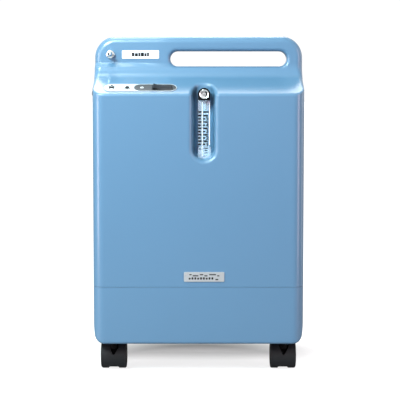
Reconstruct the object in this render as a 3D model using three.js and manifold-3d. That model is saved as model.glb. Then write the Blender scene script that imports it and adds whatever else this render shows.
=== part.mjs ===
// A home oxygen concentrator on four twin-wheel casters, with its working parts inside.
// Millimetres, +Z up, +X to the viewer's right, the front panel facing -Y.
// The origin is on the floor, under the centre of the casing's plan.
import * as THREE from 'three';
import { mergeVertices } from 'three/addons/utils/BufferGeometryUtils.js';
import Module from 'manifold-3d';

const wasm = await Module();
wasm.setup();

// ---- driving dimensions ----
const GAP = 0.3; // between pieces that touch
const WALL = 3.5; // casing wall
const WIDTH = 372;
const DEPTH = 240;
const HEIGHT = 594;
const BASE_Z = 52; // underside of the casing
const SEAM_Z = 153; // the line between the base tub and the upper casing
const SEAM_GAP = 1.6;
const CORNER_R = 20; // vertical corners, in plan
const FOOT_R = 19; // bottom corners, seen from the front
const SHOULDER_R = 38; // top corners of the handle, seen from the front

const FRONT = -DEPTH / 2;
const REAR = DEPTH / 2;
const LIP_Z = 493; // front edge of the sloped shelf
const LIP_R = 4;
const SHELF_TILT = THREE.MathUtils.degToRad(28);
const SWEEP_R = 30; // hollow curve between the shelf and the handle wall
const WALL_FRONT = -53; // face of the handle wall
const SWEEP_Y = WALL_FRONT - SWEEP_R; // centre of the hollow curve
const SWEEP_Z = LIP_Z + (SWEEP_Y - FRONT) * Math.tan(SHELF_TILT) + SWEEP_R / Math.cos(SHELF_TILT);
const WALL_REAR = -9;
const BAR_R = 12; // rounding along the top of the handle
const DECK_Z = 498; // flat deck behind the handle
const DECK_R = 14;
const REAR_SWEEP_R = 30;
const SPLIT_Y = -31; // front and rear shells meet here

const HOLE = { x0: -50.5, x1: 158.5, z0: 542, z1: 569 }; // the handle's opening
const METER_X = 10;
// Flow meter recess: half widths at its mouth and its back, with a round foot about footZ.
const POCKET = { mouth: 24.5, inner: 16, footZ: 394.5, back: -86 };
// The face behind the outlet and the label turns back from x, above a sloped ledge from z0 to z1.
const PORT = { x: -60, turn: THREE.MathUtils.degToRad(5.2), z0: 538.5, z1: 549.5 };

// ---- materials ----
const material = (color, roughness, metalness = 0) =>
  new THREE.MeshStandardMaterial({ color, roughness, metalness });
const BLUE = material(0x7bafd6, 0.45);
const BLACK = material(0x2b2d30, 0.5);
const WHEEL_BLACK = material(0x34373b, 0.6);
const GREY = material(0x6b7278, 0.5);
const WHITE = material(0xe9eef0, 0.4);
const CLEAR = material(0xd9e6ee, 0.08);
const CHROME = material(0xd6d9db, 0.15, 1);
const STEEL = material(0x9aa0a4, 0.4, 1);
const ALUMINIUM = material(0xc2c6c9, 0.4, 1);
const COPPER = material(0xb87348, 0.35, 1);
const RUBBER = material(0x1c1d1f, 0.8);
const FOAM = material(0x3c4043, 0.95);
const BOARD = material(0x2f6b45, 0.5);

// ---- solids: three.js shapes, joined and cut by manifold-3d ----
function solid(geometry) {
  const bare = geometry.index ? geometry.clone() : geometry;
  bare.deleteAttribute('normal');
  bare.deleteAttribute('uv');
  const merged = mergeVertices(bare, 1e-4);
  return new wasm.Manifold(new wasm.Mesh({
    numProp: 3,
    vertProperties: new Float32Array(merged.attributes.position.array),
    triVerts: new Uint32Array(merged.index.array),
  }));
}

function toGeometry(manifold) {
  const mesh = manifold.getMesh();
  const geometry = new THREE.BufferGeometry();
  geometry.setAttribute('position', new THREE.BufferAttribute(mesh.vertProperties, 3));
  geometry.setIndex(new THREE.BufferAttribute(mesh.triVerts, 1));
  geometry.computeVertexNormals();
  return geometry;
}

const join = (...parts) => parts.reduce((whole, part) => whole.add(part));
const cut = (body, ...tools) => tools.reduce((rest, tool) => rest.subtract(tool), body);

function block(x0, x1, y0, y1, z0, z1) {
  const box = new THREE.BoxGeometry(x1 - x0, y1 - y0, z1 - z0);
  return solid(box.translate((x0 + x1) / 2, (y0 + y1) / 2, (z0 + z1) / 2));
}

// A shape drawn in (x, y), (x, z) or (y, z), extruded along the third axis.
function extrude(shape, from, to, axis, curveSegments = 3) {
  const depth = to - from;
  const geometry = new THREE.ExtrudeGeometry(shape, { depth, bevelEnabled: false, curveSegments });
  const basis = new THREE.Matrix4();
  const [X, Y, Z] = [[1, 0, 0], [0, 1, 0], [0, 0, 1]].map((v) => new THREE.Vector3(...v));
  if (axis === 'x') basis.makeBasis(Y, Z, X).setPosition(from, 0, 0);
  if (axis === 'y') basis.makeBasis(X, Z, Y.negate()).setPosition(0, to, 0);
  if (axis === 'z') basis.setPosition(0, 0, from);
  return solid(geometry.applyMatrix4(basis));
}

function roundedRect(x0, x1, y0, y1, r) {
  const shape = new THREE.Shape();
  shape.moveTo(x0 + r, y0);
  shape.lineTo(x1 - r, y0);
  shape.absarc(x1 - r, y0 + r, r, -Math.PI / 2, 0);
  shape.lineTo(x1, y1 - r);
  shape.absarc(x1 - r, y1 - r, r, 0, Math.PI / 2);
  shape.lineTo(x0 + r, y1);
  shape.absarc(x0 + r, y1 - r, r, Math.PI / 2, Math.PI);
  shape.lineTo(x0, y0 + r);
  shape.absarc(x0 + r, y0 + r, r, Math.PI, Math.PI * 1.5);
  return shape;
}

// A turned solid: profile points are (radius, along), from axis to axis or closed on itself.
function turned(points, axis = 'z', segments = 20) {
  const profile = points.map(([r, a]) => new THREE.Vector2(r, a));
  const geometry = new THREE.LatheGeometry(profile, segments);
  if (axis === 'z') geometry.rotateX(Math.PI / 2);
  if (axis === 'x') geometry.rotateZ(-Math.PI / 2);
  return solid(geometry);
}

function cylinder(radius, from, to, axis = 'z', segments = 20) {
  return turned([[0, from], [radius, from], [radius, to], [0, to]], axis, segments);
}

// A hose: a round section along a smooth curve through the given points.
function hose(points, radius, steps) {
  const curve = new THREE.CatmullRomCurve3(points.map((p) => new THREE.Vector3(...p)));
  const section = new THREE.Shape().absarc(0, 0, radius, 0, Math.PI * 2);
  return solid(new THREE.ExtrudeGeometry(section, { steps, extrudePath: curve, curveSegments: 4 }));
}

const root = new THREE.Group();

function place(name, manifold, look, parent = root) {
  const mesh = new THREE.Mesh(toGeometry(manifold), look);
  mesh.name = name;
  parent.add(mesh);
  return mesh;
}

function groupAt(x, y, z) {
  const group = new THREE.Group();
  group.position.set(x, y, z);
  root.add(group);
  return group;
}

// ---- casing ----
// The side outline in (y, z), drawn `inset` inside the outer surface.
function sideOutline(inset) {
  const shape = new THREE.Shape();
  const tilt = SHELF_TILT;
  const shelfNormal = Math.PI / 2 + tilt;
  const lipY = FRONT + LIP_R;
  const lipCentreZ = LIP_Z - LIP_R / Math.cos(tilt) + LIP_R * Math.tan(tilt);
  const frontBarY = WALL_FRONT + BAR_R;
  const rearBarY = WALL_REAR - BAR_R;
  const rearSweepY = WALL_REAR + REAR_SWEEP_R;
  const hollow = SWEEP_R + inset;
  const rearHollow = REAR_SWEEP_R + inset;
  const lip = Math.max(LIP_R - inset, 0.2);
  const bar = BAR_R - inset;
  const deckCorner = DECK_R - inset;
  shape.moveTo(FRONT + inset, BASE_Z + inset);
  shape.lineTo(REAR - inset, BASE_Z + inset);
  shape.lineTo(REAR - inset, DECK_Z - DECK_R);
  shape.absarc(REAR - DECK_R, DECK_Z - DECK_R, deckCorner, 0, Math.PI / 2);
  shape.lineTo(rearSweepY, DECK_Z - inset);
  shape.absarc(rearSweepY, DECK_Z + REAR_SWEEP_R, rearHollow, -Math.PI / 2, -Math.PI, true);
  shape.lineTo(WALL_REAR - inset, HEIGHT - BAR_R);
  shape.absarc(rearBarY, HEIGHT - BAR_R, bar, 0, Math.PI / 2);
  shape.lineTo(frontBarY, HEIGHT - inset);
  shape.absarc(frontBarY, HEIGHT - BAR_R, bar, Math.PI / 2, Math.PI);
  shape.lineTo(WALL_FRONT + inset, SWEEP_Z);
  shape.absarc(SWEEP_Y, SWEEP_Z, hollow, 0, shelfNormal - Math.PI, true);
  shape.absarc(lipY, lipCentreZ, lip, shelfNormal, Math.PI);
  return shape;
}

// The front outline in (x, z): rounded feet, and wider rounded shoulders.
function frontOutline(inset) {
  const half = WIDTH / 2 - inset;
  const foot = FOOT_R - inset;
  const shoulder = SHOULDER_R - inset;
  const bottom = BASE_Z + inset;
  const top = HEIGHT - inset;
  const shape = new THREE.Shape();
  shape.moveTo(-half + foot, bottom);
  shape.lineTo(half - foot, bottom);
  shape.absarc(half - foot, bottom + foot, foot, -Math.PI / 2, 0);
  shape.lineTo(half, top - shoulder);
  shape.absarc(half - shoulder, top - shoulder, shoulder, 0, Math.PI / 2);
  shape.lineTo(-half + shoulder, top);
  shape.absarc(-half + shoulder, top - shoulder, shoulder, Math.PI / 2, Math.PI);
  shape.lineTo(-half, bottom + foot);
  shape.absarc(-half + foot, bottom + foot, foot, Math.PI, Math.PI * 1.5);
  return shape;
}

function casingVolume(inset) {
  const half = WIDTH / 2 - inset;
  const plan = roundedRect(-half, half, FRONT + inset, REAR - inset, CORNER_R - inset);
  return extrude(sideOutline(inset), -WIDTH, WIDTH, 'x')
    .intersect(extrude(plan, 0, HEIGHT + 10, 'z'))
    .intersect(extrude(frontOutline(inset), -DEPTH, DEPTH, 'y'));
}

function handleHole() {
  const { x0, x1, z0, z1 } = HOLE;
  return extrude(roundedRect(x0, x1, z0, z1, (z1 - z0) / 2 - 0.01), -DEPTH, DEPTH, 'y');
}

// The flow meter recess, narrowing towards its back, grown by `wall` for the casing's inside.
function meterPocket(wall) {
  const back = POCKET.back + wall;
  const slice = (half, y0, y1) => extrude(
    roundedRect(METER_X - half, METER_X + half, POCKET.footZ - half, LIP_Z + 24 + wall, half - 0.01),
    y0, y1, 'y');
  const mouth = slice(POCKET.mouth + wall, FRONT - 10, FRONT);
  return wasm.Manifold.hull([mouth, slice(POCKET.inner + wall, back - 6, back)]);
}

const portFace = (x) => WALL_FRONT + (PORT.x - x) * Math.tan(PORT.turn);

// What the turned-back face takes off the handle, moved back by `wall` for the casing's inside.
function portRecess(wall) {
  const start = SWEEP_Y + Math.sqrt(SWEEP_R ** 2 - (SWEEP_Z - PORT.z0) ** 2); // the hollow curve at z0
  const corners = [PORT.x, -WIDTH / 2 - 5].flatMap((x) => [
    [x, FRONT, PORT.z0], [x, start, PORT.z0], [x, portFace(x), PORT.z1],
    [x, portFace(x), HEIGHT + 10], [x, FRONT, HEIGHT + 10],
  ]);
  return wasm.Manifold.hull(corners).translate(0, wall, 0);
}

const above = SEAM_Z + SEAM_GAP / 2;
const below = SEAM_Z - SEAM_GAP / 2;
const outer = casingVolume(0);
const inner = casingVolume(WALL);
const upperOuter = cut(outer, handleHole(), meterPocket(0), portRecess(0));
// The handle is solid from the opening's left end rightwards, and hollow behind the outlet.
const handleCore = block(HOLE.x0 - 12, WIDTH, -DEPTH, DEPTH, HOLE.z0 - WALL, HEIGHT);
const upperInner = cut(inner, handleCore, meterPocket(WALL), portRecess(WALL));
const upper = cut(upperOuter, upperInner);
const slab = (y0, y1, z0, z1) => block(-WIDTH, WIDTH, y0, y1, z0, z1);

// Where fittings pass through the walls.
const OUTLET = { x: -157, z: 563.5, thread: 4.6 };
const RESET = { y: -72, z: 494, shank: 6.5 };
const FILTER = { x0: -85, x1: 85, z0: 262, z1: 428 };
const INLET = { x0: 92, x1: 142, z0: 84, z1: 112 };
const PANEL = { x0: -166, x1: -38, length: 26, fromLip: 9, split: -113 };
const SCREWS = [[-150, 450], [150, 450]];

// Control panel parts are drawn flat, then laid on the shelf: u runs up the slope.
const onShelf = new THREE.Matrix4()
  .makeTranslation(0, FRONT, LIP_Z)
  .multiply(new THREE.Matrix4().makeRotationX(SHELF_TILT));
const laid = (manifold) => manifold.transform(onShelf.elements);

const PANEL_Y = [PANEL.fromLip, PANEL.fromLip + PANEL.length];
const SWITCH = { x0: -81, x1: -45.5, y0: 14, y1: 30, depth: 16 };
const switchHole = (grow) =>
  block(SWITCH.x0 - grow, SWITCH.x1 + grow, SWITCH.y0 - grow, SWITCH.y1 + grow, -30, 10);

// Outlet and label parts are drawn facing +Z at the origin, then stood on the turned-back face.
const onPort = (manifold, x, z) => manifold
  .rotate([90, 0, -THREE.MathUtils.radToDeg(PORT.turn)])
  .translate(x, portFace(x), z);
const outletBore = onPort(cylinder(OUTLET.thread + GAP, -20, 20, 'z', 16), OUTLET.x, OUTLET.z);
const frontShell = cut(
  upper.intersect(slab(-DEPTH, SPLIT_Y - GAP / 2, above, HEIGHT + 10)),
  outletBore,
  laid(switchHole(1.5 + GAP)),
  cylinder(RESET.shank + GAP, -WIDTH, -120, 'x', 16).translate(0, RESET.y, RESET.z),
  ...[392, LIP_Z].map((z) => cylinder(3.4, -90, -75, 'y', 12).translate(METER_X, 0, z)),
);
place('front_shell', frontShell, BLUE);

const DOOR_PIN = { y: REAR - 5, z: FILTER.z0 + 1.5, r: 1.6, barrel: 4 };
const doorHole = block(FILTER.x0, FILTER.x1, REAR - 10, REAR + 10, FILTER.z0 - 4, FILTER.z1);
const hingeLugs = join(
  block(FILTER.x0 - 5, FILTER.x0 + 4, REAR - 10, REAR - WALL + 1, FILTER.z0 - 4.5, FILTER.z0 + 6),
  block(FILTER.x1 - 4, FILTER.x1 + 5, REAR - 10, REAR - WALL + 1, FILTER.z0 - 4.5, FILTER.z0 + 6),
);
const rearShell = cut(
  join(
    cut(upper.intersect(slab(SPLIT_Y + GAP / 2, DEPTH, above, HEIGHT + 10)), doorHole),
    hingeLugs,
  ),
  cylinder(DOOR_PIN.r + GAP, FILTER.x0 - 1, FILTER.x1 + 1, 'x', 12)
    .translate(0, DOOR_PIN.y, DOOR_PIN.z),
  ...SCREWS.map(([x, z]) => cylinder(2.8, 0, 80, 'y', 10).translate(x, 60, z)),
);
place('rear_shell', rearShell, BLUE);

// The base tub, with a tongue inside the seam, caster sockets and exhaust slots.
const CASTER = { x: 152, rearX: 160, y: -84, rearY: 74, stem: 5.5, trail: 16 };
const casterSites = [
  ['front_left', -CASTER.x, CASTER.y],
  ['front_right', CASTER.x, CASTER.y],
  ['rear_left', -CASTER.rearX, CASTER.rearY],
  ['rear_right', CASTER.rearX, CASTER.rearY],
];
const tongueOuter = casingVolume(WALL + GAP).intersect(slab(-DEPTH, DEPTH, 130, above + 6));
const tongueInner = casingVolume(WALL * 2).intersect(slab(-DEPTH, DEPTH, 120, above + 16));
const tubWall = cut(outer, inner).intersect(slab(-DEPTH, DEPTH, 0, below));
const tongueStep = cut(casingVolume(1), casingVolume(WALL * 2))
  .intersect(slab(-DEPTH, DEPTH, below - 8, below));
const socket = (x, y) => cylinder(11, BASE_Z + 1, 80, 'z', 12).translate(x, y, 0);
const socketBore = (x, y) => cylinder(CASTER.stem + GAP, 0, 76, 'z', 12).translate(x, y, 0);
const EXHAUST_SLOTS = 7;
const exhaust = Array.from({ length: EXHAUST_SLOTS }, (_, i) =>
  block(-120, -20, REAR - 10, REAR + 10, 70 + i * 9, 74 + i * 9));
const tub = cut(
  join(tubWall, cut(tongueOuter, tongueInner), tongueStep, ...casterSites.map(([, x, y]) => socket(x, y))),
  ...casterSites.map(([, x, y]) => socketBore(x, y)),
  block(INLET.x0 + 3, INLET.x1 - 3, REAR - 12, REAR + 10, INLET.z0 + 3, INLET.z1 - 3),
  ...exhaust,
);
place('base_tub', tub, BLUE);

// ---- casters ----
const WHEEL = { r: 24, width: 14.7, web: 16, axle: 3 };
const HOOD = { inner: 24.6, outer: 26.8, from: 50, to: 222 }; // degrees round the axle, from the rear
const COLLAR = { r: 9, z0: 40, z1: 51 };
const STEM_TOP = 74;

// The hood in (y, z): a band over the wheels' top and front, round the axle.
function hoodBand() {
  const from = THREE.MathUtils.degToRad(HOOD.from);
  const to = THREE.MathUtils.degToRad(HOOD.to);
  const shape = new THREE.Shape();
  shape.absarc(CASTER.trail, WHEEL.r, HOOD.outer, from, to);
  shape.absarc(CASTER.trail, WHEEL.r, HOOD.inner, to, from, true);
  return shape;
}

// The web between the wheels in (y, z): a disc cut off level near the floor.
function webOutline() {
  const chin = THREE.MathUtils.degToRad(HOOD.to - 180);
  const shape = new THREE.Shape();
  shape.absarc(CASTER.trail, WHEEL.r, HOOD.outer, -chin, Math.PI + chin);
  return shape;
}

// One wheel's profile, from the blind bore that takes the axle round to the outer face.
function wheelProfile() {
  const { r, width, axle } = WHEEL;
  const bore = axle + GAP;
  return [[0, width - 2.6], [bore, width - 2.6], [bore, 0], [r - 1.5, 0], [r, 2], [r, width - 3],
    [r - 3, width], [0, width - 1]];
}

function caster(name, x, y) {
  const group = groupAt(x, y, 0);
  const halfWeb = WHEEL.web / 2;
  const half = halfWeb + GAP + WHEEL.width;
  const stem = turned([[0, COLLAR.z0], [COLLAR.r, COLLAR.z0], [COLLAR.r, COLLAR.z1],
    [CASTER.stem, COLLAR.z1], [CASTER.stem, STEM_TOP], [0, STEM_TOP]], 'z', 12);
  const wheelRoom = cylinder(HOOD.inner, -40, 40, 'x', 16).translate(0, CASTER.trail, WHEEL.r);
  const collar = cut(stem, wheelRoom);
  const fork = cut(
    join(extrude(hoodBand(), -half, half, 'x', 6), extrude(webOutline(), -halfWeb, halfWeb, 'x', 6),
      collar),
    cylinder(WHEEL.axle + GAP, -40, 40, 'x', 10).translate(0, CASTER.trail, WHEEL.r),
  );
  place(`caster_${name}_fork`, fork, BLACK, group);
  const axleHalf = halfWeb + WHEEL.width - 3;
  const axle = cylinder(WHEEL.axle, -axleHalf, axleHalf, 'x', 10);
  place(`caster_${name}_axle`, axle.translate(0, CASTER.trail, WHEEL.r), STEEL, group);
  const wheel = turned(wheelProfile(), 'x', 18);
  for (const [side, sign] of [['left', -1], ['right', 1]]) {
    const handed = sign > 0 ? wheel : wheel.mirror([1, 0, 0]);
    const mesh = place(`caster_${name}_wheel_${side}`, handed, WHEEL_BLACK, group);
    mesh.position.set(sign * (halfWeb + GAP), CASTER.trail, WHEEL.r);
  }
}

casterSites.forEach(([name, x, y]) => caster(name, x, y));

// ---- control panel ----
const [panelLow, panelHigh] = PANEL_Y;
const panelMid = (panelLow + panelHigh) / 2;
const panelOutline = roundedRect(PANEL.x0, PANEL.x1, panelLow, panelHigh, PANEL.length / 2 - 0.01);
const RIM = 1; // white border round the grey surround
const surroundOutline = (grow) => roundedRect(PANEL.split - grow, PANEL.x1 - RIM + grow,
  panelLow + RIM - grow, panelHigh - RIM + grow, PANEL.length / 2 - RIM - 0.1 + grow);
const panel = cut(
  extrude(panelOutline, GAP, 1.5, 'z'),
  extrude(surroundOutline(GAP), -5, 5, 'z'),
);
place('control_panel', laid(panel), WHITE);

const well = (grow, z0, z1) =>
  block(SWITCH.x0 - grow, SWITCH.x1 + grow, SWITCH.y0 - grow, SWITCH.y1 + grow, z0, z1);
const surround = cut(
  join(extrude(surroundOutline(0), GAP, 2.2, 'z'), well(1.5, -SWITCH.depth, 1)),
  well(0, -SWITCH.depth + 2, 5),
);
place('switch_surround', laid(surround), GREY);

// The rocker tips about an axis up the slope; at rest its left end stands proud.
const ROCKER = { tilt: THREE.MathUtils.degToRad(9), z: 0, half: 17 };
const rockerMid = (SWITCH.x0 + SWITCH.x1) / 2;
const rockerShape = new THREE.Shape([[-ROCKER.half, 1.2], [-ROCKER.half + 4, -3.5], [0, -6],
  [ROCKER.half - 4, -3.5], [ROCKER.half, 1.2], [ROCKER.half - 1, 3.2], [0, 1.4], [1 - ROCKER.half, 3.2]]
  .map(([x, z]) => new THREE.Vector2(x, z)));
const rocker = extrude(rockerShape, SWITCH.y0 + 0.5, SWITCH.y1 - 0.5, 'y')
  .translate(0, -panelMid, 0)
  .rotate([0, THREE.MathUtils.radToDeg(ROCKER.tilt), 0])
  .translate(rockerMid, panelMid, ROCKER.z);
place('rocker_switch', laid(rocker), BLACK);

// ---- oxygen outlet, label, badge and reset button ----
const flange = turned([[0, -14], [OUTLET.thread, -14], [OUTLET.thread, GAP], [7.3, GAP], [7.3, 5],
  [5, 6], [3.2, 6], [3.2, 9], [4.2, 9], [3, 14], [4.2, 14], [3, 19], [3.6, 19], [2.6, 24], [1.7, 24],
  [1.7, -10], [0, -10]], 'z', 10);
place('oxygen_outlet', onPort(flange, OUTLET.x, OUTLET.z), CHROME);
const nut = cut(
  turned([[0, -4], [8, -4], [8, 0], [0, 0]], 'z', 6),
  cylinder(OUTLET.thread + GAP, -10, 10, 'z', 16),
);
place('outlet_nut', onPort(nut.translate(0, 0, -WALL - GAP), OUTLET.x, OUTLET.z), ALUMINIUM);

const LABEL = { x: -103.5, z: 563, half: 33, halfHeight: 7.3, t: 0.8 };
const labelOutline = roundedRect(-LABEL.half, LABEL.half, -LABEL.halfHeight, LABEL.halfHeight, 1.2);
const label = extrude(labelOutline, GAP, GAP + LABEL.t, 'z', 2);
place('label_plate', onPort(label, LABEL.x, LABEL.z), WHITE);
const badgeOutline = roundedRect(-25.5, 45.5, 163.4, 180.4, 1.5);
place('badge_plate', extrude(badgeOutline, FRONT - GAP - 1, FRONT - GAP, 'y', 2), ALUMINIUM);

const resetAt = (manifold) => manifold.translate(0, RESET.y, RESET.z);
const side = -WIDTH / 2;
const bezel = cut(
  join(cylinder(11, side - 1.4, side - GAP, 'x', 16), cylinder(RESET.shank, side - 1, side + 16, 'x', 12)),
  cylinder(4.5, side - 10, side + 13, 'x', 12),
);
place('reset_bezel', resetAt(bezel), BLACK);
const button = cylinder(4, side - 3, side + 10, 'x', 12);
place('reset_button', resetAt(button), BLACK);

// ---- flow meter ----
const METER = { half: 10.5, front: -110, z0: 402.6, z1: 482, bore: 5, boreY: -99 };
const meterBack = POCKET.back - GAP;
const meterBlock = cut(
  block(METER_X - METER.half, METER_X + METER.half, METER.front, meterBack, METER.z0, METER.z1),
  cylinder(METER.bore, METER.z0 - 1, METER.z1 + 1, 'z', 16).translate(METER_X, METER.boreY, 0),
);
place('flow_meter_block', meterBlock, CLEAR);
const FLOAT_R = 3.6;
const floatBall = solid(new THREE.SphereGeometry(FLOAT_R, 10, 7));
place('flow_meter_float', floatBall, BLACK).position.set(METER_X, METER.boreY, METER.z0 + FLOAT_R + 0.4);

const lowerFitting = join(
  block(METER_X - METER.half, METER_X + 12, METER.front + 1, meterBack, 385.5, METER.z0 - GAP),
  cylinder(3, POCKET.back - 1, POCKET.back + 18, 'y', 12).translate(METER_X, 0, 392),
);
place('flow_meter_inlet', lowerFitting, CLEAR);

const KNOB = { z: 493, r: 11, face: -117, back: -107, cap: 9, stem: 3 };
const valveBody = cut(
  join(
    block(METER_X - METER.half, METER_X + METER.half, -104, meterBack, METER.z1 + GAP, 502),
    cylinder(7, KNOB.back + 0.5, -100, 'y', 16).translate(METER_X, 0, KNOB.z),
    cylinder(3, -90, -68, 'y', 12).translate(METER_X, 0, KNOB.z),
  ),
  cylinder(KNOB.stem + GAP, -130, -92, 'y', 12).translate(METER_X, 0, KNOB.z),
);
place('flow_valve_body', valveBody, BLACK);
const atKnob = (manifold) => manifold.translate(METER_X, 0, KNOB.z);
const FLUTES = 12;
const flute = (i) => cylinder(0.9, -130, -100, 'y', 6)
  .translate(KNOB.r * Math.cos((i * 2 * Math.PI) / FLUTES), 0, KNOB.r * Math.sin((i * 2 * Math.PI) / FLUTES));
const knob = join(
  cut(
    cylinder(KNOB.r, KNOB.face, KNOB.back, 'y', 24),
    cylinder(KNOB.cap + GAP, KNOB.face - 5, KNOB.face + 1.5, 'y', 16),
    ...Array.from({ length: FLUTES }, (_, i) => flute(i)),
  ),
  cylinder(KNOB.stem, KNOB.back - 2, -92.6, 'y', 12),
);
place('flow_knob', atKnob(knob), BLACK);
const knobCap = turned([[0, 0], [KNOB.cap, 0], [KNOB.cap, 1.2], [7, 1.9], [0, 2.2]], 'z', 16);
place('flow_knob_cap', atKnob(knobCap.rotate([90, 0, 0]).translate(0, KNOB.face + 1.2, 0)), CHROME);

// ---- rear panel parts ----
const LOUVRES = 9;
const doorFace = [REAR - 3, REAR];
const doorPlate = cut(
  block(FILTER.x0 + 1, FILTER.x1 - 1, doorFace[0], doorFace[1], FILTER.z0 + 7, FILTER.z1 - 1),
  ...Array.from({ length: LOUVRES }, (_, i) =>
    block(FILTER.x0 + 14, FILTER.x1 - 14, REAR - 10, REAR + 5, FILTER.z0 + 20 + i * 15, FILTER.z0 + 28 + i * 15)),
);
const doorX = [FILTER.x0 + 4.5, FILTER.x1 - 4.5];
const barrel = cylinder(DOOR_PIN.barrel, ...doorX, 'x', 14).translate(0, DOOR_PIN.y, DOOR_PIN.z);
const neck = block(...doorX, REAR - 3, REAR - 1, DOOR_PIN.z, FILTER.z0 + 8);
const trunnions = cylinder(DOOR_PIN.r, FILTER.x0, FILTER.x1, 'x', 10);
const door = join(doorPlate, barrel, neck, trunnions.translate(0, DOOR_PIN.y, DOOR_PIN.z));
place('filter_door', door, BLUE);
const foam = block(FILTER.x0 + 2, FILTER.x1 - 2, REAR - 22, REAR - 10.5, FILTER.z0 + 8, FILTER.z1 - 2);
place('intake_foam', foam, FOAM);

SCREWS.forEach(([x, z], i) => {
  const screw = turned([[0, -20], [2.4, -20], [2.4, GAP], [4.5, GAP], [4, 2], [2.6, 2.8], [0, 2.8]], 'z', 12);
  place(`rear_screw_${i + 1}`, screw.rotate([-90, 0, 0]).translate(x, REAR, z), STEEL);
});

const inletSocket = cut(
  join(
    block(INLET.x0, INLET.x1, REAR + GAP, REAR + 2.5, INLET.z0, INLET.z1),
    block(INLET.x0 + 4, INLET.x1 - 4, REAR - 24, REAR + 1, INLET.z0 + 4, INLET.z1 - 4),
  ),
  block(INLET.x0 + 12, INLET.x1 - 12, REAR - 16, REAR + 5, INLET.z0 + 6.5, INLET.z1 - 6.5),
);
place('power_inlet', inletSocket, BLACK);

// ---- chassis ----
const FLOOR_Z = BASE_Z + WALL;
const TRAY = { x: 128, y: 104, z: FLOOR_Z + GAP, t: 2 };
const UPRIGHT = { y: 100, x: 165, z0: 140, z1: 462 };
const FAN = { x: -55, y: -5, z: 244, half: 60, depth: 30 };
const tray = join(
  block(-TRAY.x, TRAY.x, -TRAY.y, TRAY.y, TRAY.z, TRAY.z + TRAY.t),
  block(-TRAY.x, 80, UPRIGHT.y, UPRIGHT.y + 2, TRAY.z, 150),
);
const upright = cut(
  join(
    block(-UPRIGHT.x, UPRIGHT.x, UPRIGHT.y, UPRIGHT.y + 2, UPRIGHT.z0, UPRIGHT.z1),
    block(FAN.x - 63, FAN.x + 63, FAN.y - 63, UPRIGHT.y + 1, FAN.z - GAP - 2, FAN.z - GAP),
  ),
  cylinder(FAN.half - 5, FAN.z - 10, FAN.z + 10, 'z', 16).translate(FAN.x, FAN.y, 0),
  block(FILTER.x0 - 1, FILTER.x1 + 1, 90, 110, FILTER.z0 + 6, FILTER.z1),
  ...SCREWS.map(([x, z]) => cylinder(2.4 + GAP, 90, 110, 'y', 10).translate(x, 0, z)),
);
place('chassis', join(tray, upright), STEEL);

// ---- compressor on its rubber mounts ----
const PUMP = { y: -5, z: 150, r: 52 };
const mountSites = [[-115, -60], [5, -60], [-115, 50], [5, 50]];
const trayTop = TRAY.z + TRAY.t;
mountSites.forEach(([x, y], i) => {
  const bush = turned([[0, 0], [11, 0], [8, 6], [8, 12], [11, 18], [0, 18]], 'z', 12);
  place(`compressor_mount_${i + 1}`, bush.translate(x, y, trayTop + GAP), RUBBER);
});
const pumpFoot = trayTop + GAP * 2 + 18;
const pump = join(
  cylinder(PUMP.r, -100, -10, 'x', 20).translate(0, PUMP.y, PUMP.z),
  block(-124, 14, -68, 58, pumpFoot, pumpFoot + 4),
  block(-90, -20, -35, 25, pumpFoot, 120),
  block(-125, -98, -32, 22, 120, 222),
  block(-12, 15, -32, 22, 120, 222),
  cylinder(6, -30, 30, 'y', 10).translate(-111, 0, 205),
);
place('compressor', pump, ALUMINIUM);

// ---- cooling: fan over the compressor, coil in its draught ----
const fanHousing = cut(
  block(FAN.x - FAN.half, FAN.x + FAN.half, FAN.y - FAN.half, FAN.y + FAN.half, FAN.z, FAN.z + FAN.depth),
  cylinder(FAN.half - 4, FAN.z + 4, FAN.z + FAN.depth + 1, 'z', 24).translate(FAN.x, FAN.y, 0),
  cut(
    cylinder(FAN.half - 4, FAN.z - 1, FAN.z + 5, 'z', 24),
    cylinder(20, FAN.z - 2, FAN.z + 6, 'z', 20),
    block(-80, 80, -4, 4, FAN.z - 2, FAN.z + 6),
    block(-4, 4, -80, 80, FAN.z - 2, FAN.z + 6),
  ).translate(FAN.x, FAN.y, 0),
);
place('fan_housing', fanHousing, BLACK);
const BLADES = 5;
const blade = block(12, 48, -1, 1, -9, 9).rotate([38, 0, 0]);
const rotor = join(
  cylinder(18, -10, 10, 'z', 16),
  ...Array.from({ length: BLADES }, (_, i) => blade.rotate([0, 0, (i * 360) / BLADES])),
);
place('fan_rotor', rotor, BLACK).position.set(FAN.x, FAN.y, FAN.z + 17);

// ---- air circuit ----
const BEDS = [[118, -56], [118, 36]];
const BED = { r: 40, z0: 112, z1: 410 };
BEDS.forEach(([x, y], i) => {
  const bed = turned([[0, BED.z0], [BED.r, BED.z0], [BED.r, BED.z0 + 10], [BED.r - 3, BED.z0 + 14],
    [BED.r - 3, BED.z1 - 14], [BED.r, BED.z1 - 10], [BED.r, BED.z1], [0, BED.z1]], 'z', 20);
  place(`sieve_bed_${i + 1}`, bed.translate(x, y, 0), ALUMINIUM);
});
const manifoldZ = BED.z1 + GAP;
const manifold = join(
  block(84, 152, -90, 70, manifoldZ, manifoldZ + 26),
  cylinder(5, manifoldZ + 13, manifoldZ + 40, 'z', 10).translate(96, 40, 0),
);
place('valve_manifold', manifold, ALUMINIUM);
const solenoid = (y) => join(
  block(104, 132, y - 16, y + 16, manifoldZ + 26 + GAP, manifoldZ + 54),
  cylinder(5, manifoldZ + 50, manifoldZ + 62, 'z', 10).translate(118, y, 0),
);
const solenoidBar = block(100, 136, -78, 2, manifoldZ + 26 + GAP, manifoldZ + 29);
place('valve_solenoids', join(solenoidBar, solenoid(-60), solenoid(-15)), BLACK);
const TANK = { x: 40, y: 55, r: 30 };
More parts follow.
